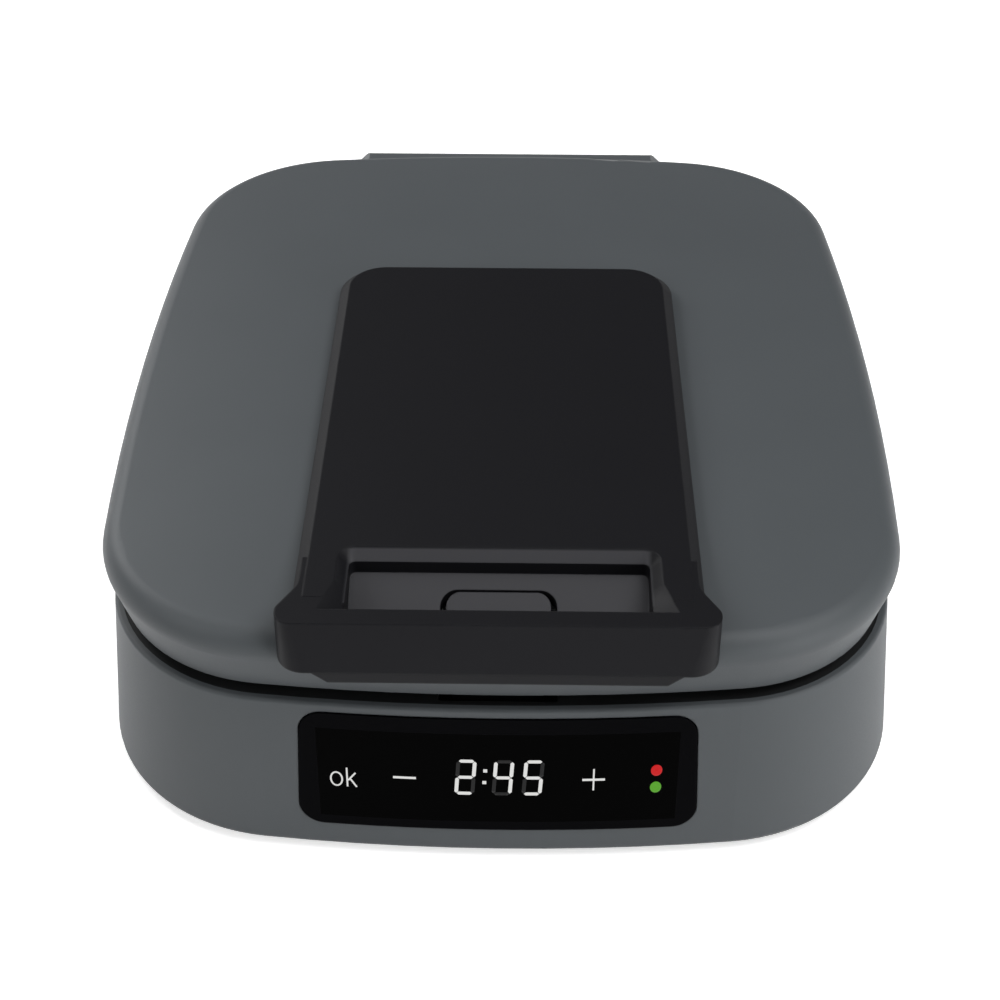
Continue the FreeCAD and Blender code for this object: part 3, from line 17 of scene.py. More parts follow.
import bpy
import numpy as np
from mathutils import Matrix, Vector


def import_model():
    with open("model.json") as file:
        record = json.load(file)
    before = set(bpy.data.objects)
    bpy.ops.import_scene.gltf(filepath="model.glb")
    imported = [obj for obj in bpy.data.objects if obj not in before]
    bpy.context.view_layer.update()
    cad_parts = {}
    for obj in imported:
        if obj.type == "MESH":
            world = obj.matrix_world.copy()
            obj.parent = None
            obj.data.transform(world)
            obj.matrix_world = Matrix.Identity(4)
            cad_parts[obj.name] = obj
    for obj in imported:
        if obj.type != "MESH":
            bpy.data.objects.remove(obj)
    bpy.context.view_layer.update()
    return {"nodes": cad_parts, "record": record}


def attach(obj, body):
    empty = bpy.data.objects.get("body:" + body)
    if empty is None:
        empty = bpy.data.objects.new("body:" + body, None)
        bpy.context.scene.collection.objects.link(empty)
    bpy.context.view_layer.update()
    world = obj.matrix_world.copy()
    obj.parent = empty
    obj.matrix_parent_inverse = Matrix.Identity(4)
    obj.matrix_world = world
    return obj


LOG = logging.getLogger("sandwich_maker")
MM = 0.001
IMAGE_SIDE = 1000.0
SENSOR = 36.0
# Outputs and inputs of the Mix node by number: its colour pair and colour result.
DARK, LIGHT, MIXED = 6, 7, 2
BEVEL_SAMPLES = 6


def linear(colour: str, gain: float = 1.0) -> tuple[float, float, float, float]:
    """Turns an sRGB hex value into linear light.

    Args:
        colour: a value such as "#5a5e61".
        gain: a factor on the linear value, for the lighter and darker shades of a pattern.

    Returns:
        Linear red, green and blue, with full alpha.
    """
    steps = np.array([int(colour[i:i + 2], 16) for i in (1, 3, 5)]) / 255.0
    light = np.where(steps <= 0.04045, steps / 12.92, ((steps + 0.055) / 1.055) ** 2.4) * gain
    return (*(float(v) for v in light), 1.0)


def fill(tree: bpy.types.NodeTree, item: bpy.types.Node, sockets: dict[Any, Any]) -> None:
    """Fills a node's inputs.

    Args:
        tree: the node's tree.
        item: the node.
        sockets: inputs by name or number; an output socket is linked, anything else is set as the value.
    """
    for key, value in sockets.items():
        if isinstance(value, bpy.types.NodeSocket):
            tree.links.new(value, item.inputs[key])
        else:
            item.inputs[key].default_value = value


def add(tree: bpy.types.NodeTree, kind: str, sockets: dict[Any, Any] | None = None,
        **settings: Any) -> bpy.types.Node:
    """Adds one node, sets its properties and fills its inputs.

    Args:
        tree: the node tree that gets the node.
        kind: the node's type without the words ShaderNode.
        sockets: what its inputs get, as in fill.
        settings: properties of the node itself.

    Returns:
        The new node.
    """
    item = tree.nodes.new("ShaderNode" + kind)
    for name, value in settings.items():
        setattr(item, name, value)
    fill(tree, item, sockets or {})
    return item


def blank(name: str) -> tuple[bpy.types.Material, bpy.types.NodeTree, bpy.types.Node]:
    """Makes a material whose tree holds one Principled shader on its output.

    Args:
        name: the material's name.

    Returns:
        The material, its tree and the shader.
    """
    material = bpy.data.materials.new(name)
    material.use_nodes = True
    tree = material.node_tree
    tree.nodes.clear()
    shader = add(tree, "BsdfPrincipled")
    add(tree, "OutputMaterial", {"Surface": shader.outputs["BSDF"]})
    return material, tree, shader


@dataclass(frozen=True)
class MouldedPlastic:
    """A thermoplastic from a spark-eroded mould: an even fine grain, soft gloss and slightly broken edges.

    A crown is the half width, half depth, middle and edge tilt of a pad that is shaded as one soft crown.
    A painted-light box is a part of the piece whose upward faces have the pale colour, which is painted light
    on them.
    """

    name: str
    colour: str
    roughness: float
    specular: float
    grain_mm: float = 0.5
    grain_depth_mm: float = 0.012
    mottle: float = 0.05
    cloud_mm: float = 45.0
    sheen_spread: float = 0.06
    edge_mm: float = 0.5
    crown: tuple[float, float, float, float] | None = None
    crown_facing: tuple[float, float] = (0.985, 0.995)
    # The pale colour is painted light, laid on upward faces inside the box.
    pale: str | None = None
    pale_box: tuple[tuple[float, float, float], tuple[float, float, float]] | None = None
    pale_fade: float = 0.97
    pale_facing: tuple[float, float] = (0.4, 0.6)

    def inside(self, tree: bpy.types.NodeTree, place: bpy.types.NodeSocket) -> bpy.types.NodeSocket:
        """Painted light: a factor that is one on faces inside the painted-light box that look upward, and
        fades over its edges.

        Args:
            tree: the node tree.
            place: the place in the object's axes, in metres.

        Returns:
            The factor.
        """
        low, high = np.array(self.pale_box) * MM
        moved = add(tree, "VectorMath", {0: place, 1: tuple((low + high) / 2)}, operation="SUBTRACT")
        share = add(tree, "VectorMath", {0: moved.outputs[0], 1: tuple((high - low) / 2)}, operation="DIVIDE")
        size = add(tree, "VectorMath", {0: share.outputs[0]}, operation="ABSOLUTE")
        split = add(tree, "SeparateXYZ", {"Vector": size.outputs[0]})
        pair = add(tree, "Math", {0: split.outputs["X"], 1: split.outputs["Y"]}, operation="MAXIMUM")
        most = add(tree, "Math", {0: pair.outputs[0], 1: split.outputs["Z"]}, operation="MAXIMUM")
        held = add(tree, "MapRange", {"Value": most.outputs[0], "From Min": 1.0, "From Max": self.pale_fade})
        level = self.upward(tree, self.pale_facing)
        return add(tree, "Math", {0: held.outputs["Result"], 1: level}, operation="MULTIPLY").outputs[0]

    def upward(self, tree: bpy.types.NodeTree, limits: tuple[float, float]) -> bpy.types.NodeSocket:
        """A factor for how far a face looks up, in the object's own axes, which turn with its joint.

        Args:
            tree: the node tree.
            limits: the upward shares of the normal at which the factor is zero and one.

        Returns:
            The factor.
        """
        own = add(tree, "VectorTransform", {"Vector": add(tree, "NewGeometry").outputs["Normal"]},
                  vector_type="NORMAL", convert_from="WORLD", convert_to="OBJECT")
        facing = add(tree, "SeparateXYZ", {"Vector": own.outputs["Vector"]})
        return add(tree, "MapRange", {
            "Value": facing.outputs["Z"], "From Min": limits[0], "From Max": limits[1]}).outputs["Result"]

    def crowned(self, tree: bpy.types.NodeTree, place: bpy.types.NodeSocket,
                normal: bpy.types.NodeSocket) -> bpy.types.NodeSocket:
        """Shades nearly level faces as one soft crown, whose tilt grows with the cube of the way to its edge.

        Args:
            tree: the node tree.
            place: the place in the object's axes, in metres.
            normal: the normal that other faces keep.

        Returns:
            The normal to shade with.
        """
        half_x, half_y, middle_y, tilt = self.crown
        moved = add(tree, "VectorMath", {0: place, 1: (0.0, middle_y * MM, 0.0)}, operation="SUBTRACT")
        share = add(tree, "VectorMath", {
            0: moved.outputs[0], 1: (1 / (half_x * MM), 1 / (half_y * MM), 0.0)}, operation="MULTIPLY")
        square = add(tree, "VectorMath", {0: share.outputs[0], 1: share.outputs[0]}, operation="MULTIPLY")
        cube = add(tree, "VectorMath", {0: square.outputs[0], 1: share.outputs[0]}, operation="MULTIPLY")
        lean = add(tree, "VectorMath", {0: cube.outputs[0], 1: (tilt, tilt, tilt), 2: (0.0, 0.0, 1.0)},
                   operation="MULTIPLY_ADD")
        soft = add(tree, "VectorMath", {0: lean.outputs[0]}, operation="NORMALIZE")
        level = self.upward(tree, self.crown_facing)
        turned = add(tree, "VectorTransform", {"Vector": soft.outputs[0]},
                     vector_type="NORMAL", convert_from="OBJECT", convert_to="WORLD")
        return add(tree, "Mix", {
            0: level, 4: normal, 5: turned.outputs["Vector"]}, data_type="VECTOR").outputs[1]

    def build(self) -> bpy.types.Material:
        """Builds the finish: a cloudy tone, a grain in bump and roughness, and edges rounded in shading.

        Returns:
            The material.
        """
        material, tree, shader = blank(self.name)
        place = add(tree, "TexCoord").outputs["Object"]
        # The real grain is near 0.1 mm. It is drawn coarser, so that it shows at this picture's scale.
        grain = add(tree, "TexNoise", {"Vector": place, "Scale": 1 / (self.grain_mm * MM), "Detail": 2.0})
        cloud = add(tree, "TexNoise", {"Vector": place, "Scale": 1 / (self.cloud_mm * MM), "Detail": 3.0})
        tone = add(tree, "Mix", {
            0: cloud.outputs["Fac"], DARK: linear(self.colour, 1 - self.mottle),
            LIGHT: linear(self.colour, 1 + self.mottle)}, data_type="RGBA")
        sheen = add(tree, "MapRange", {
            "Value": grain.outputs["Fac"], "To Min": self.roughness - self.sheen_spread,
            "To Max": self.roughness + self.sheen_spread})
        normal = add(tree, "Bevel", {"Radius": self.edge_mm * MM}, samples=BEVEL_SAMPLES).outputs["Normal"]
        if self.crown:
            normal = self.crowned(tree, place, normal)
        bump = add(tree, "Bump", {
            "Height": grain.outputs["Fac"], "Normal": normal,
            "Strength": 1.0, "Distance": self.grain_depth_mm * MM})
        # Painted light: upward faces inside the box take the pale colour.
        if self.pale_box:
            inside = self.inside(tree, place)
            tone = add(tree, "Mix", {
                0: inside, DARK: tone.outputs[MIXED], LIGHT: linear(self.pale)}, data_type="RGBA")
        fill(tree, shader, {
            "Base Color": tone.outputs[MIXED], "Roughness": sheen.outputs["Result"],
            "Normal": bump.outputs["Normal"], "Specular IOR Level": self.specular})
        return material


@dataclass(frozen=True)
class DisplayGlass:
    """A smoked acrylic front, printed black from behind: a dark clear window in a slightly paler border."""

    name: str
    border: str
    window: str
    half_width: float
    low: float
    high: float
    smear_mm: float = 18.0
    gloss: tuple[float, float] = (0.08, 0.16)
    edge_mm: float = 0.4
    specular: float = 0.012

    def build(self) -> bpy.types.Material:
        """Builds the finish: in the window, both distances from its middle are inside its half sizes.

        Returns:
            The material.
        """
        material, tree, shader = blank(self.name)
        place = add(tree, "TexCoord").outputs["Object"]
        split = add(tree, "SeparateXYZ", {"Vector": place})
        across = add(tree, "Math", {0: split.outputs["X"]}, operation="ABSOLUTE")
        beside = add(tree, "Math", {0: across.outputs[0], 1: self.half_width * MM}, operation="LESS_THAN")
        middle, half_height = (self.low + self.high) / 2 * MM, (self.high - self.low) / 2 * MM
        centred = add(tree, "Math", {0: split.outputs["Z"], 1: middle}, operation="SUBTRACT")
        upright = add(tree, "Math", {0: centred.outputs[0]}, operation="ABSOLUTE")
        within = add(tree, "Math", {0: upright.outputs[0], 1: half_height}, operation="LESS_THAN")
        window = add(tree, "Math", {0: beside.outputs[0], 1: within.outputs[0]}, operation="MULTIPLY")
        tone = add(tree, "Mix", {
            0: window.outputs[0], DARK: linear(self.border), LIGHT: linear(self.window)}, data_type="RGBA")
        smear = add(tree, "TexNoise", {"Vector": place, "Scale": 1 / (self.smear_mm * MM), "Detail": 3.0})
        gloss = add(tree, "MapRange", {
            "Value": smear.outputs["Fac"], "To Min": self.gloss[0], "To Max": self.gloss[1]})
        edge = add(tree, "Bevel", {"Radius": self.edge_mm * MM}, samples=BEVEL_SAMPLES)
        fill(tree, shader, {
            "Base Color": tone.outputs[MIXED], "Roughness": gloss.outputs["Result"],
            "Normal": edge.outputs["Normal"], "Specular IOR Level": self.specular})
        return material


@dataclass(frozen=True)
class Coating:
    """A non-stick coat sprayed on cast aluminium: dark, with fine pale specks and a low uneven sheen."""

    name: str
    colour: str
    speck: str
    speck_mm: float = 1.6
    speck_reach: tuple[float, float] = (0.16, 0.1)
    spray_mm: float = 0.7
    spray_depth_mm: float = 0.02
    sheen: tuple[float, float] = (0.34, 0.52)
    edge_mm: float = 0.8

    def build(self) -> bpy.types.Material:
        """Builds the finish: specks are the hearts of a cell pattern, and the spray is a shallow noise.

        Returns:
            The material.
        """
        material, tree, shader = blank(self.name)
        place = add(tree, "TexCoord").outputs["Object"]
        cells = add(tree, "TexVoronoi", {"Vector": place, "Scale": 1 / (self.speck_mm * MM)})
        outer, inner = self.speck_reach
        heart = add(tree, "MapRange", {
            "Value": cells.outputs["Distance"], "From Min": outer, "From Max": inner})
        spray = add(tree, "TexNoise", {"Vector": place, "Scale": 1 / (self.spray_mm * MM), "Detail": 3.0})
        few = add(tree, "Math", {0: heart.outputs["Result"], 1: spray.outputs["Fac"]}, operation="MULTIPLY")
        tone = add(tree, "Mix", {
            0: few.outputs[0], DARK: linear(self.colour), LIGHT: linear(self.speck)}, data_type="RGBA")
        sheen = add(tree, "MapRange", {
            "Value": spray.outputs["Fac"], "To Min": self.sheen[0], "To Max": self.sheen[1]})
        edge = add(tree, "Bevel", {"Radius": self.edge_mm * MM}, samples=BEVEL_SAMPLES)
        bump = add(tree, "Bump", {
            "Height": spray.outputs["Fac"], "Normal": edge.outputs["Normal"],
            "Strength": 1.0, "Distance": self.spray_depth_mm * MM})
        fill(tree, shader, {
            "Base Color": tone.outputs[MIXED], "Roughness": sheen.outputs["Result"],
            "Normal": bump.outputs["Normal"]})
        return material


@dataclass(frozen=True)
class RolledMetal:
    """Rolled or drawn metal: fine lines along one axis, seen as streaks in its gloss."""

    name: str
    colour: str
    roughness: float
    line_mm: float = 0.35
    run_mm: float = 24.0
    shades: tuple[float, float] = (0.85, 1.1)
    gloss_shifts: tuple[float, float] = (-0.08, 0.1)
    edge_mm: float = 0.2
    edge_samples: int = 4

    def build(self) -> bpy.types.Material:
        """Builds the finish: a noise that is fine across the rolling direction and long along it.

        Returns:
            The material.
        """
        material, tree, shader = blank(self.name)
        place = add(tree, "TexCoord").outputs["Object"]
        fine, long = 1 / (self.line_mm * MM), 1 / (self.run_mm * MM)
        drawn = add(tree, "Mapping", {"Vector": place, "Scale": (long, fine, fine)})
        lines = add(tree, "TexNoise", {"Vector": drawn.outputs["Vector"], "Scale": 1.0, "Detail": 2.0})
        tone = add(tree, "Mix", {
            0: lines.outputs["Fac"], DARK: linear(self.colour, self.shades[0]),
            LIGHT: linear(self.colour, self.shades[1])}, data_type="RGBA")
        gloss = add(tree, "MapRange", {
            "Value": lines.outputs["Fac"], "To Min": self.roughness + self.gloss_shifts[0],
            "To Max": self.roughness + self.gloss_shifts[1]})
        edge = add(tree, "Bevel", {"Radius": self.edge_mm * MM}, samples=self.edge_samples)
        fill(tree, shader, {
            "Base Color": tone.outputs[MIXED], "Roughness": gloss.outputs["Result"],
            "Normal": edge.outputs["Normal"], "Metallic": 1.0})
        return material


@dataclass(frozen=True)
class CircuitBoard:
    """Glass-fibre board under green solder resist, with lines of copper that show through."""

    name: str
    resist: str
    copper: str
    pitch_mm: float = 2.54
    wander: float = 0.35
    track_reach: tuple[float, float] = (0.42, 0.47)
    track_depth_mm: float = 0.03
    roughness: float = 0.32

    def build(self) -> bpy.types.Material:
        """Builds the finish: square cells of a pitch, whose borders are tinted as copper under the resist.

        Returns:
            The material.
        """
        material, tree, shader = blank(self.name)
        place = add(tree, "TexCoord").outputs["Object"]
        cells = add(tree, "TexVoronoi", {
            "Vector": place, "Scale": 1 / (self.pitch_mm * MM), "Randomness": self.wander},
            distance="CHEBYCHEV", feature="F1")
        inner, outer = self.track_reach
        track = add(tree, "MapRange", {
            "Value": cells.outputs["Distance"], "From Min": inner, "From Max": outer})
        tone = add(tree, "Mix", {
            0: track.outputs["Result"], DARK: linear(self.resist),
            LIGHT: linear(self.copper)}, data_type="RGBA")
        bump = add(tree, "Bump", {
            "Height": track.outputs["Result"], "Strength": 1.0, "Distance": self.track_depth_mm * MM})
        fill(tree, shader, {
            "Base Color": tone.outputs[MIXED], "Normal": bump.outputs["Normal"], "Roughness": self.roughness})
        return material


@dataclass(frozen=True)
class LitSign:
    """A backlit sign in the display: its light is even, with a faint grain of the diffuser behind it."""

    name: str
    colour: str
    glow: float
    grain_mm: float = 0.6
    shades: tuple[float, float] = (0.94, 1.06)
    film: str = "#0a0a0b"
    roughness: float = 0.2
    specular: float = 0.06

    def build(self) -> bpy.types.Material:
        """Builds the finish: the emission's tone varies a little over about half a millimetre.

        Returns:
            The material.
        """
        material, tree, shader = blank(self.name)
        place = add(tree, "TexCoord").outputs["Object"]
        grain = add(tree, "TexNoise", {"Vector": place, "Scale": 1 / (self.grain_mm * MM), "Detail": 1.0})
        tone = add(tree, "Mix", {
            0: grain.outputs["Fac"], DARK: linear(self.colour, self.shades[0]),
            LIGHT: linear(self.colour, self.shades[1])}, data_type="RGBA")
        fill(tree, shader, {
            "Emission Color": tone.outputs[MIXED], "Emission Strength": self.glow,
            "Base Color": linear(self.film), "Roughness": self.roughness,
            "Specular IOR Level": self.specular})
        return material


class Finish(Enum):
    """The finish of each material slot of the record, and of the display's signs."""

    case_grey = MouldedPlastic("satin_abs_grey", "#4e5255", 0.5, 0.32, edge_mm=0.6,
                               crown=(116.0, 138.0, -6.25, 0.075))
    # Inner parts are black plastic. The base's deck, seen in the gap under the lid, is dressed in this black
    # too, so there it is partly painted shade.
    inner_black = MouldedPlastic("heat_resistant_black_and_gap_shade", "#1a1b1c", 0.6, 0.3)
    # The upward faces of the finger recess and its push pad are painted paler than the panel, as painted
    # light where the lamps fall.
    handle_black = MouldedPlastic("matt_black_nylon", "#17171a", 0.48, 0.14, grain_mm=0.45, edge_mm=0.8,
                                  pale="#424245", pale_box=((-44.4, -140.8, 60.0), (44.4, -112.2, 91.35)))
    foot_rubber = MouldedPlastic("moulded_rubber", "#17181a", 0.85, 0.3, grain_mm=0.8, grain_depth_mm=0.02)
    plate_coating = Coating("nonstick_coating", "#1b1c1d", "#5d5f60")
    bright_sheet = RolledMetal("aluminised_sheet", "#b9bcbe", 0.38)
    display_gloss = DisplayGlass("smoked_acrylic", "#08080a", "#010101", 53.4, 15.3, 48.9)
    circuit_board = CircuitBoard("solder_resist_board", "#0e3b20", "#2c6a35")
    module_plastic = MouldedPlastic("module_abs", "#2a2b2d", 0.5, 0.4)
    foam = MouldedPlastic("sensor_foam", "#2b2b2b", 0.95, 0.1, grain_mm=0.9, grain_depth_mm=0.08)
    light_lens = MouldedPlastic("milky_acrylic", "#c9c9c4", 0.25, 0.5)
    steel = RolledMetal("zinc_plated_steel", "#a9acae", 0.3)
    white_light = LitSign("white_backlight", "#e2e2e0", 0.95)
    dim_segment = LitSign("unlit_segment", "#232323", 1.0)
    red_light = LitSign("red_backlight", "#c81e20", 1.0)
    green_light = LitSign("green_backlight", "#58a02c", 1.0)


class Palette:
    """Builds each finish once and hands it out."""

    def __init__(self) -> None:
        """Starts with nothing built."""
        self.built: dict[str, bpy.types.Material] = {}

    def get(self, finish: Finish) -> bpy.types.Material:
        """The material of a finish, built on first use."""
        if finish.name not in self.built:
            self.built[finish.name] = finish.value.build()
        return self.built[finish.name]


def surface(name: str, grids: list[np.ndarray], smooth: bool = True) -> bpy.types.Object:
    """Makes one mesh object from grids of points, each row joined to the next by quads.

    Args:
        name: the object's name.
        grids: arrays of shape (rows, columns, 3), in millimetres, whose faces point outward when rows
            run along u, columns along v and u x v is the outward side.
        smooth: whether the faces are shaded smooth.

    Returns:
        The object, at the origin, with its place in its mesh.
    """
    points, faces, start = [], [], 0
    for grid in grids:
        rows, columns = grid.shape[:2]
        index = np.arange(rows * columns).reshape(rows, columns) + start
        quads = np.stack([index[:-1, :-1], index[1:, :-1], index[1:, 1:], index[:-1, 1:]], -1)
        points.append(grid.reshape(-1, 3))
        faces.append(quads.reshape(-1, 4))
        start += rows * columns
    mesh = bpy.data.meshes.new(name)
    mesh.from_pydata((np.concatenate(points) * MM).tolist(), [], np.concatenate(faces).tolist())
    mesh.validate()
    mesh.polygons.foreach_set("use_smooth", np.full(len(mesh.polygons), smooth))
    item = bpy.data.objects.new(name, mesh)
    bpy.context.scene.collection.objects.link(item)
    return item


@dataclass(frozen=True)
class BaseFront:
    """The curved front of the display: an end bow that leans back as it rises."""

    half_depth: float = 147.0
    bow_radius: float = 650.0
    rim_inset: float = 1.2
    flare: float = 6.0
    height: float = 55.0
    top: float = 57.5
    proud: float = 0.35
    shift: float = -6.25

    def place(self, x: np.ndarray, z: np.ndarray, lift: np.ndarray | float) -> np.ndarray:
        """Puts flat places on the display's front.

        At a height the front is an arc of the bow's radius less the wall's inset there, about the bow's
        own centre; the lift is added to that radius.

        Args:
            x: distances to the right of the middle.
            z: heights above the table.
            lift: how far each place stands off the surface.

        Returns:
            Points of shape (..., 3).
        """
        inset = self.rim_inset - self.flare * (self.top - z) / self.height - self.proud
        radius = self.bow_radius - inset + lift
        y = self.bow_radius - self.half_depth + self.shift - np.sqrt(radius ** 2 - x ** 2)
        return np.stack([x, y, z], -1)


class Segment(Enum):
    """The seven strokes of a digit, as end points on a box that is one wide and two high."""

    top = ((0, 2), (1, 2))
    middle = ((0, 1), (1, 1))
    low = ((0, 0), (1, 0))
    upper_left = ((0, 1), (0, 2))
    upper_right = ((1, 1), (1, 2))
    lower_left = ((0, 0), (0, 1))
    lower_right = ((1, 0), (1, 1))


class Digit(Enum):
    """The digits that are shown, each as the strokes that are lit."""

    two = ("top", "upper_right", "middle", "lower_left", "low")
    four = ("upper_left", "upper_right", "middle", "lower_right")
    five = ("top", "upper_left", "middle", "lower_right", "low")


@dataclass
class DisplaySigns:
    """The touch display's signs: a confirm word, minus and plus keys, a time in seven strokes, two lights."""

    front: BaseFront = field(default_factory=BaseFront)
    middle_height: float = 31.7
    lift: float = 0.05
    sink: float = 0.05
    stroke: float = 0.5
    word_drop: float = 4.6
    round_middle: tuple[float, float] = (-47.95, 2.75)
    round_radii: tuple[float, float] = (1.95, 2.8)
    stem_x: float = -44.75
    stem_height: float = 7.2
    upper_arm: tuple[tuple[float, float], tuple[float, float]] = ((-44.5, 2.4), (-42.2, 5.4))
    lower_arm: tuple[tuple[float, float], tuple[float, float]] = ((-43.9, 3.2), (-42.0, 0.0))
    key_stroke: float = 0.8
    minus_ends: tuple[float, float] = (-31.0, -24.2)
    plus_ends: tuple[float, float] = (25.1, 31.8)
    plus_half: float = 4.1
    digit_centres: tuple[float, ...] = (-9.9, 1.2, 10.1)
    digit_low: float = 26.4
    digit_width: float = 4.85
    digit_rise: float = 6.2
    digit_stroke: float = 1.1
    digit_slant: float = 0.065
    joint_gap: float = 0.16
    colon_x: float = -3.9
    colon_heights: tuple[float, ...] = (30.7, 35.2)
    colon_half: float = 0.58
    colon_level: float = 31.0
    light_x: float = 47.0
    light_radii: tuple[float, float] = (1.68, 2.1)
    heat_rise: float = 2.9
    ready_drop: float = 3.6

    def tile(self, x: np.ndarray, z: np.ndarray) -> np.ndarray:
        """Lays a grid of flat places on the front as a thin tile, with its outer ring sunk into the panel.

        Args:
            x: a grid of distances to the right.
            z: a grid of heights.

        Returns:
            A grid of points with one more ring all round.
        """
        x, z = np.pad(x, 1, mode="edge"), np.pad(z, 1, mode="edge")
        lift = np.pad(np.full((x.shape[0] - 2, x.shape[1] - 2), self.lift), 1, constant_values=-self.sink)
        return self.front.place(x, z, lift)

    def bar(self, start: tuple[float, float], stop: tuple[float, float], width: float,
            point: float = 0.0) -> np.ndarray:
        """A straight stroke: a strip along the line between two places, with flat or pointed ends.

        Args:
            start: where the stroke begins, (x, z).
            stop: where it ends.
            width: the stroke's width.
            point: how far the middle of each end runs past its corners.

        Returns:
            The stroke's grid of points.
        """
        a, b = np.array(start, float), np.array(stop, float)
        along = (b - a) / np.linalg.norm(b - a)
        aside = np.array([along[1], -along[0]])
        across = np.linspace(-1, 1, 9)
        tip = point * (1 - np.abs(across))
        ends = np.stack([-tip, np.linalg.norm(b - a) + tip])
        t = np.linspace(0, 1, 7)[:, None]
        run = ends[0] * (1 - t) + ends[1] * t
        flat = a + run[..., None] * along + (across * width / 2)[None, :, None] * aside
        return self.tile(flat[..., 0], flat[..., 1])

    def ring(self, centre: tuple[float, float], radii: tuple[float, float],
             inner: tuple[float, float] = (0.0, 0.0)) -> np.ndarray:
        """An oval band, or a full oval where the inner radii are zero.

        Args:
            centre: the oval's middle, (x, z).
            radii: its outer half width and half height.
            inner: the same for its inner edge.

        Returns:
            The oval's grid of points.
        """
        angle = np.linspace(0, 2 * np.pi, 65)[:, None]
        t = np.linspace(1, 0, 5)[None, :]
        x = centre[0] + np.cos(angle) * (inner[0] + (radii[0] - inner[0]) * t)
        z = centre[1] + np.sin(angle) * (inner[1] + (radii[1] - inner[1]) * t)
        return self.tile(x, z)

    def word(self) -> list[np.ndarray]:
        """The confirm word: a round letter, and an upright with two arms.

        Returns:
            The strokes' grids.
        """
        low = self.middle_height - self.word_drop
        wide, high = self.round_radii
        x, z = self.round_middle
        strokes = [self.ring((x, low + z), self.round_radii, (wide - self.stroke, high - self.stroke))]
        stem = ((self.stem_x, 0.0), (self.stem_x, self.stem_height))
        for start, stop in (stem, self.upper_arm, self.lower_arm):
            strokes.append(self.bar((start[0], low + start[1]), (stop[0], low + stop[1]), self.stroke))
        return strokes

    def keys(self) -> list[np.ndarray]:
        """The minus and plus keys as plain strokes."""
        z = self.middle_height
        middle = sum(self.plus_ends) / 2
        minus, across = (self.bar((left, z), (right, z), self.key_stroke)
                         for left, right in (self.minus_ends, self.plus_ends))
        up = self.bar((middle, z - self.plus_half), (middle, z + self.plus_half), self.stroke)
        return [minus, across, up]

    def digit(self, centre: float, lit: Digit) -> tuple[list[np.ndarray], list[np.ndarray]]:
        """One slanted digit.

        Args:
            centre: its middle, to the right.
            lit: the digit that is shown.

        Returns:
            The lit strokes and the unlit ones.
        """
        shown: list[np.ndarray] = []
        dark: list[np.ndarray] = []
        for segment in Segment:
            ends = np.array(segment.value, float) * (self.digit_width, self.digit_rise)
            ends[:, 0] += centre - self.digit_width / 2 + ends[:, 1] * self.digit_slant
            ends[:, 1] += self.digit_low
            along = (ends[1] - ends[0]) / np.linalg.norm(ends[1] - ends[0])
            trim = along * (self.digit_stroke / 2 + self.joint_gap)
            first, last = tuple(ends[0] + trim), tuple(ends[1] - trim)
            strip = self.bar(first, last, self.digit_stroke, self.digit_stroke / 2)
            (shown if segment.name in lit.value else dark).append(strip)
        return shown, dark

    def colon(self) -> list[np.ndarray]:
        """The two square dots between hours and minutes."""
        dots = []
        for z in self.colon_heights:
            x = self.colon_x + (z - self.colon_level) * self.digit_slant
            dots.append(self.bar((x, z - self.colon_half), (x, z + self.colon_half), 2 * self.colon_half))
        return dots

    def build(self, palette: Palette) -> list[bpy.types.Object]:
        """Builds the signs, dresses them and lets them ride on the base.

        Args:
            palette: the finishes.

        Returns:
            The new pieces.
        """
        lit, dark = self.colon(), []
        for centre, shape in zip(self.digit_centres, Digit):
            shown, unlit = self.digit(centre, shape)
            lit += shown
            dark += unlit
        heat = self.ring((self.light_x, self.middle_height + self.heat_rise), self.light_radii)
        ready = self.ring((self.light_x, self.middle_height - self.ready_drop), self.light_radii)
        parts = (
            ("time_lit", lit, Finish.white_light), ("time_unlit", dark, Finish.dim_segment),
            ("confirm_word", self.word(), Finish.white_light), ("time_keys", self.keys(), Finish.white_light),
            ("heat_light", [heat], Finish.red_light), ("ready_light", [ready], Finish.green_light),
        )
        made = []
        for name, grids, finish in parts:
            piece = surface(name, grids)
            piece.data.materials.append(palette.get(finish))
            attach(piece, "base")
            made.append(piece)
        return made


@dataclass(frozen=True)
class Softbox:
    """A large soft lamp that points at the middle of the object."""

    name: str
    place: tuple[float, float, float]
    side: tuple[float, float]
    watts: float
    aim: tuple[float, float, float] = (0.0, 0.0, 45.0)

    def build(self) -> None:
        """Makes the lamp."""
        data = bpy.data.lights.new(self.name, "AREA")
        data.shape = "RECTANGLE"
        data.size, data.size_y = (s * MM for s in self.side)
        data.energy = self.watts
        lamp = bpy.data.objects.new(self.name, data)
        lamp.location = Vector(self.place) * MM
        lamp.rotation_mode = "QUATERNION"
        lamp.rotation_quaternion = (Vector(self.aim) - Vector(self.place)).to_track_quat("-Z", "Y")
        bpy.context.scene.collection.objects.link(lamp)


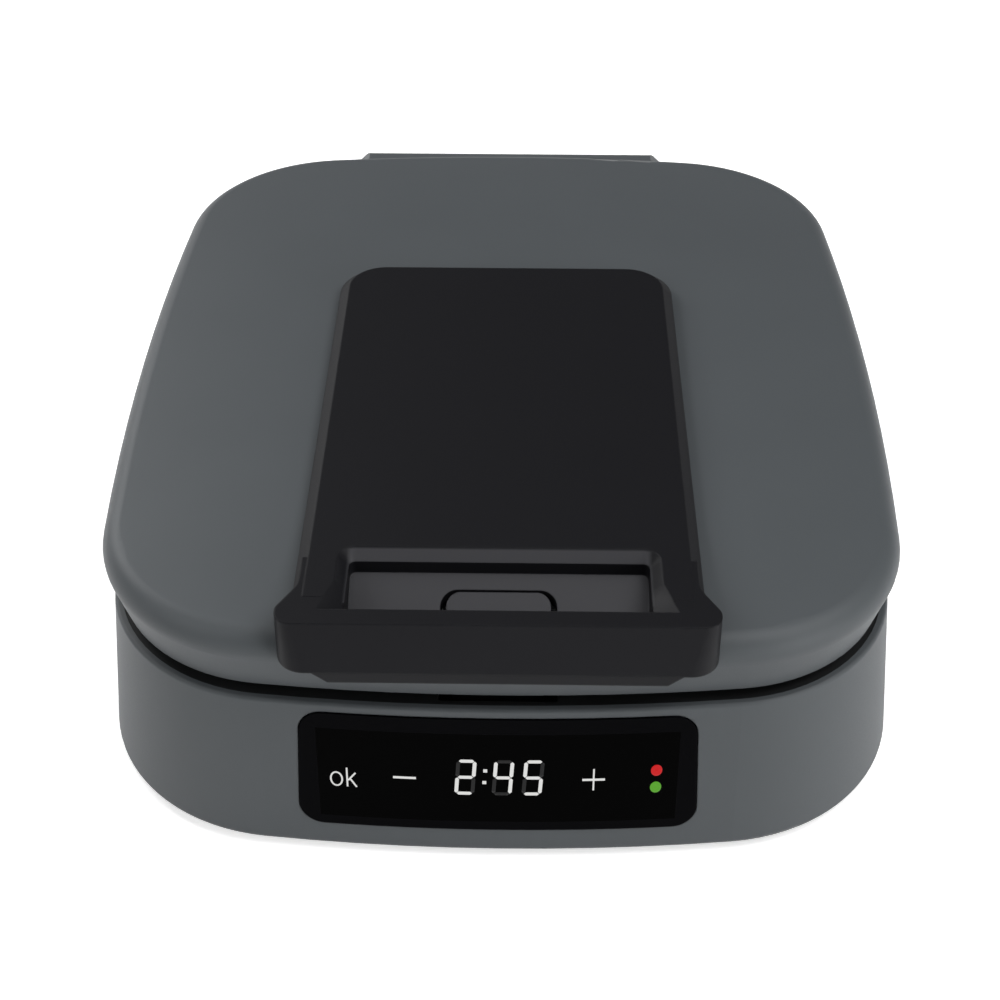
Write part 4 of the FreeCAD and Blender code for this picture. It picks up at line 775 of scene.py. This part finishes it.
@dataclass
class Studio:
    """A white floor, a faint surround and soft lamps, with the camera at the photograph's place."""

    focal_px: float = 1779.4
    elevation: float = 38.8
    azimuth: float = 0.91
    camera_place: tuple[float, float, float] = (6.43, -513.65, 426.32)
    floor_side: float = 9000.0
    surround: float = 0.01
    floor_lift: float = 0.6
    lit_reach: tuple[float, float] = (900.0, 2400.0)
    paper: str = "#f4f4f4"
    paper_roughness: float = 0.9
    wall_fade: tuple[float, float] = (0.2, 0.1)
    clip: tuple[float, float] = (0.01, 50.0)
    lamps: tuple[Softbox, ...] = (
        Softbox("overhead", (0.0, 0.0, 1400.0), (1100.0, 1100.0), 5.0),
        Softbox("left_back", (-900.0, 700.0, 800.0), (700.0, 700.0), 9.0),
        Softbox("right_top", (700.0, -300.0, 1150.0), (800.0, 800.0), 8.6),
        Softbox("right_low", (1000.0, -900.0, 300.0), (700.0, 700.0), 7.0),
        Softbox("left_front", (-900.0, -600.0, 800.0), (700.0, 700.0), 3.6),
    )

    def camera(self) -> None:
        """Makes the camera: its lens is the sensor's width times the focal length in picture widths."""
        data = bpy.data.cameras.new("camera")
        data.sensor_width = SENSOR
        data.lens = SENSOR * self.focal_px / IMAGE_SIDE
        data.clip_start, data.clip_end = self.clip
        item = bpy.data.objects.new("camera", data)
        a, e = math.radians(self.azimuth), math.radians(self.elevation)
        back = Vector((math.sin(a) * math.cos(e), -math.cos(a) * math.cos(e), math.sin(e)))
        item.location = Vector(self.camera_place) * MM
        item.rotation_mode = "QUATERNION"
        item.rotation_quaternion = (-back).to_track_quat("-Z", "Y")
        bpy.context.scene.collection.objects.link(item)
        bpy.context.scene.camera = item

    def seen(self, tree: bpy.types.NodeTree) -> bpy.types.NodeSocket:
        """A factor that is one for rays from the eye and for what gloss and glass show of them."""
        ray = add(tree, "LightPath")
        shiny = add(tree, "Math", {
            0: ray.outputs["Is Glossy Ray"], 1: ray.outputs["Is Transmission Ray"]}, operation="MAXIMUM")
        eye = add(tree, "Math", {0: ray.outputs["Is Camera Ray"], 1: shiny.outputs[0]}, operation="MAXIMUM")
        return eye.outputs[0]

    def floor(self) -> None:
        """Makes the floor: a white sheet that takes the object's shadow, lifted for the eye, most far off."""
        half = self.floor_side / 2
        u, v = np.meshgrid(np.linspace(-half, half, 2), np.linspace(-half, half, 2), indexing="ij")
        item = surface("floor", [np.stack([u, v, np.zeros_like(u)], -1)], smooth=False)
        material, tree, shader = blank("studio_paper")
        away = add(tree, "VectorMath", {0: add(tree, "TexCoord").outputs["Object"]}, operation="LENGTH")
        near, far = (reach * MM for reach in self.lit_reach)
        level = add(tree, "MapRange", {
            "Value": away.outputs["Value"], "From Min": near, "From Max": far,
            "To Min": self.floor_lift, "To Max": 1.0})
        lift = add(tree, "Math", {0: self.seen(tree), 1: level.outputs["Result"]}, operation="MULTIPLY")
        fill(tree, shader, {
            "Base Color": linear(self.paper), "Roughness": self.paper_roughness, "Specular IOR Level": 0.0,
            "Emission Color": (1.0, 1.0, 1.0, 1.0), "Emission Strength": lift.outputs[0]})
        item.data.materials.append(material)

    def world(self) -> None:
        """Makes the surround: a wall, white to the eye and in gloss, and a faint light from all round."""
        world = bpy.data.worlds.new("surround")
        world.use_nodes = True
        tree = world.node_tree
        tree.nodes.clear()
        way = add(tree, "SeparateXYZ", {"Vector": add(tree, "TexCoord").outputs["Generated"]})
        low = add(tree, "MapRange", {
            "Value": way.outputs["Z"], "From Min": self.wall_fade[0], "From Max": self.wall_fade[1]})
        white = add(tree, "Math", {0: self.seen(tree), 1: low.outputs["Result"]}, operation="MULTIPLY")
        strength = add(tree, "Mix", {0: white.outputs[0], 2: self.surround, 3: 1.0}, data_type="FLOAT")
        back = add(tree, "Background", {"Color": (1.0, 1.0, 1.0, 1.0), "Strength": strength.outputs[0]})
        add(tree, "OutputWorld", {"Surface": back.outputs["Background"]})
        bpy.context.scene.world = world

    def build(self) -> None:
        """Sets up the view, the floor, the surround and the lamps."""
        bpy.context.scene.view_settings.view_transform = "Standard"
        self.camera()
        self.floor()
        self.world()
        for lamp in self.lamps:
            lamp.build()


def dress(frame: dict[str, Any], palette: Palette) -> None:
    """Gives every CAD node the finish of its record slot.

    Args:
        palette: the finishes.
    """
    for part in frame["record"]["subparts"]:
        node = frame["nodes"][part["node"]]
        node.data.materials.clear()
        node.data.materials.append(palette.get(Finish[part["material_slot"]]))
        LOG.info("dressed %s as %s", part["node"], part["material_slot"])


def main() -> None:
    """Builds the object's looks and the studio."""
    logging.basicConfig(level=logging.INFO, format="%(name)s: %(message)s")
    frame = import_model()
    palette = Palette()
    dress(frame, palette)
    for piece in DisplaySigns().build(palette):
        LOG.info("made %s with %d faces", piece.name, len(piece.data.polygons))
    Studio().build()


if __name__ == "__main__":
    main()
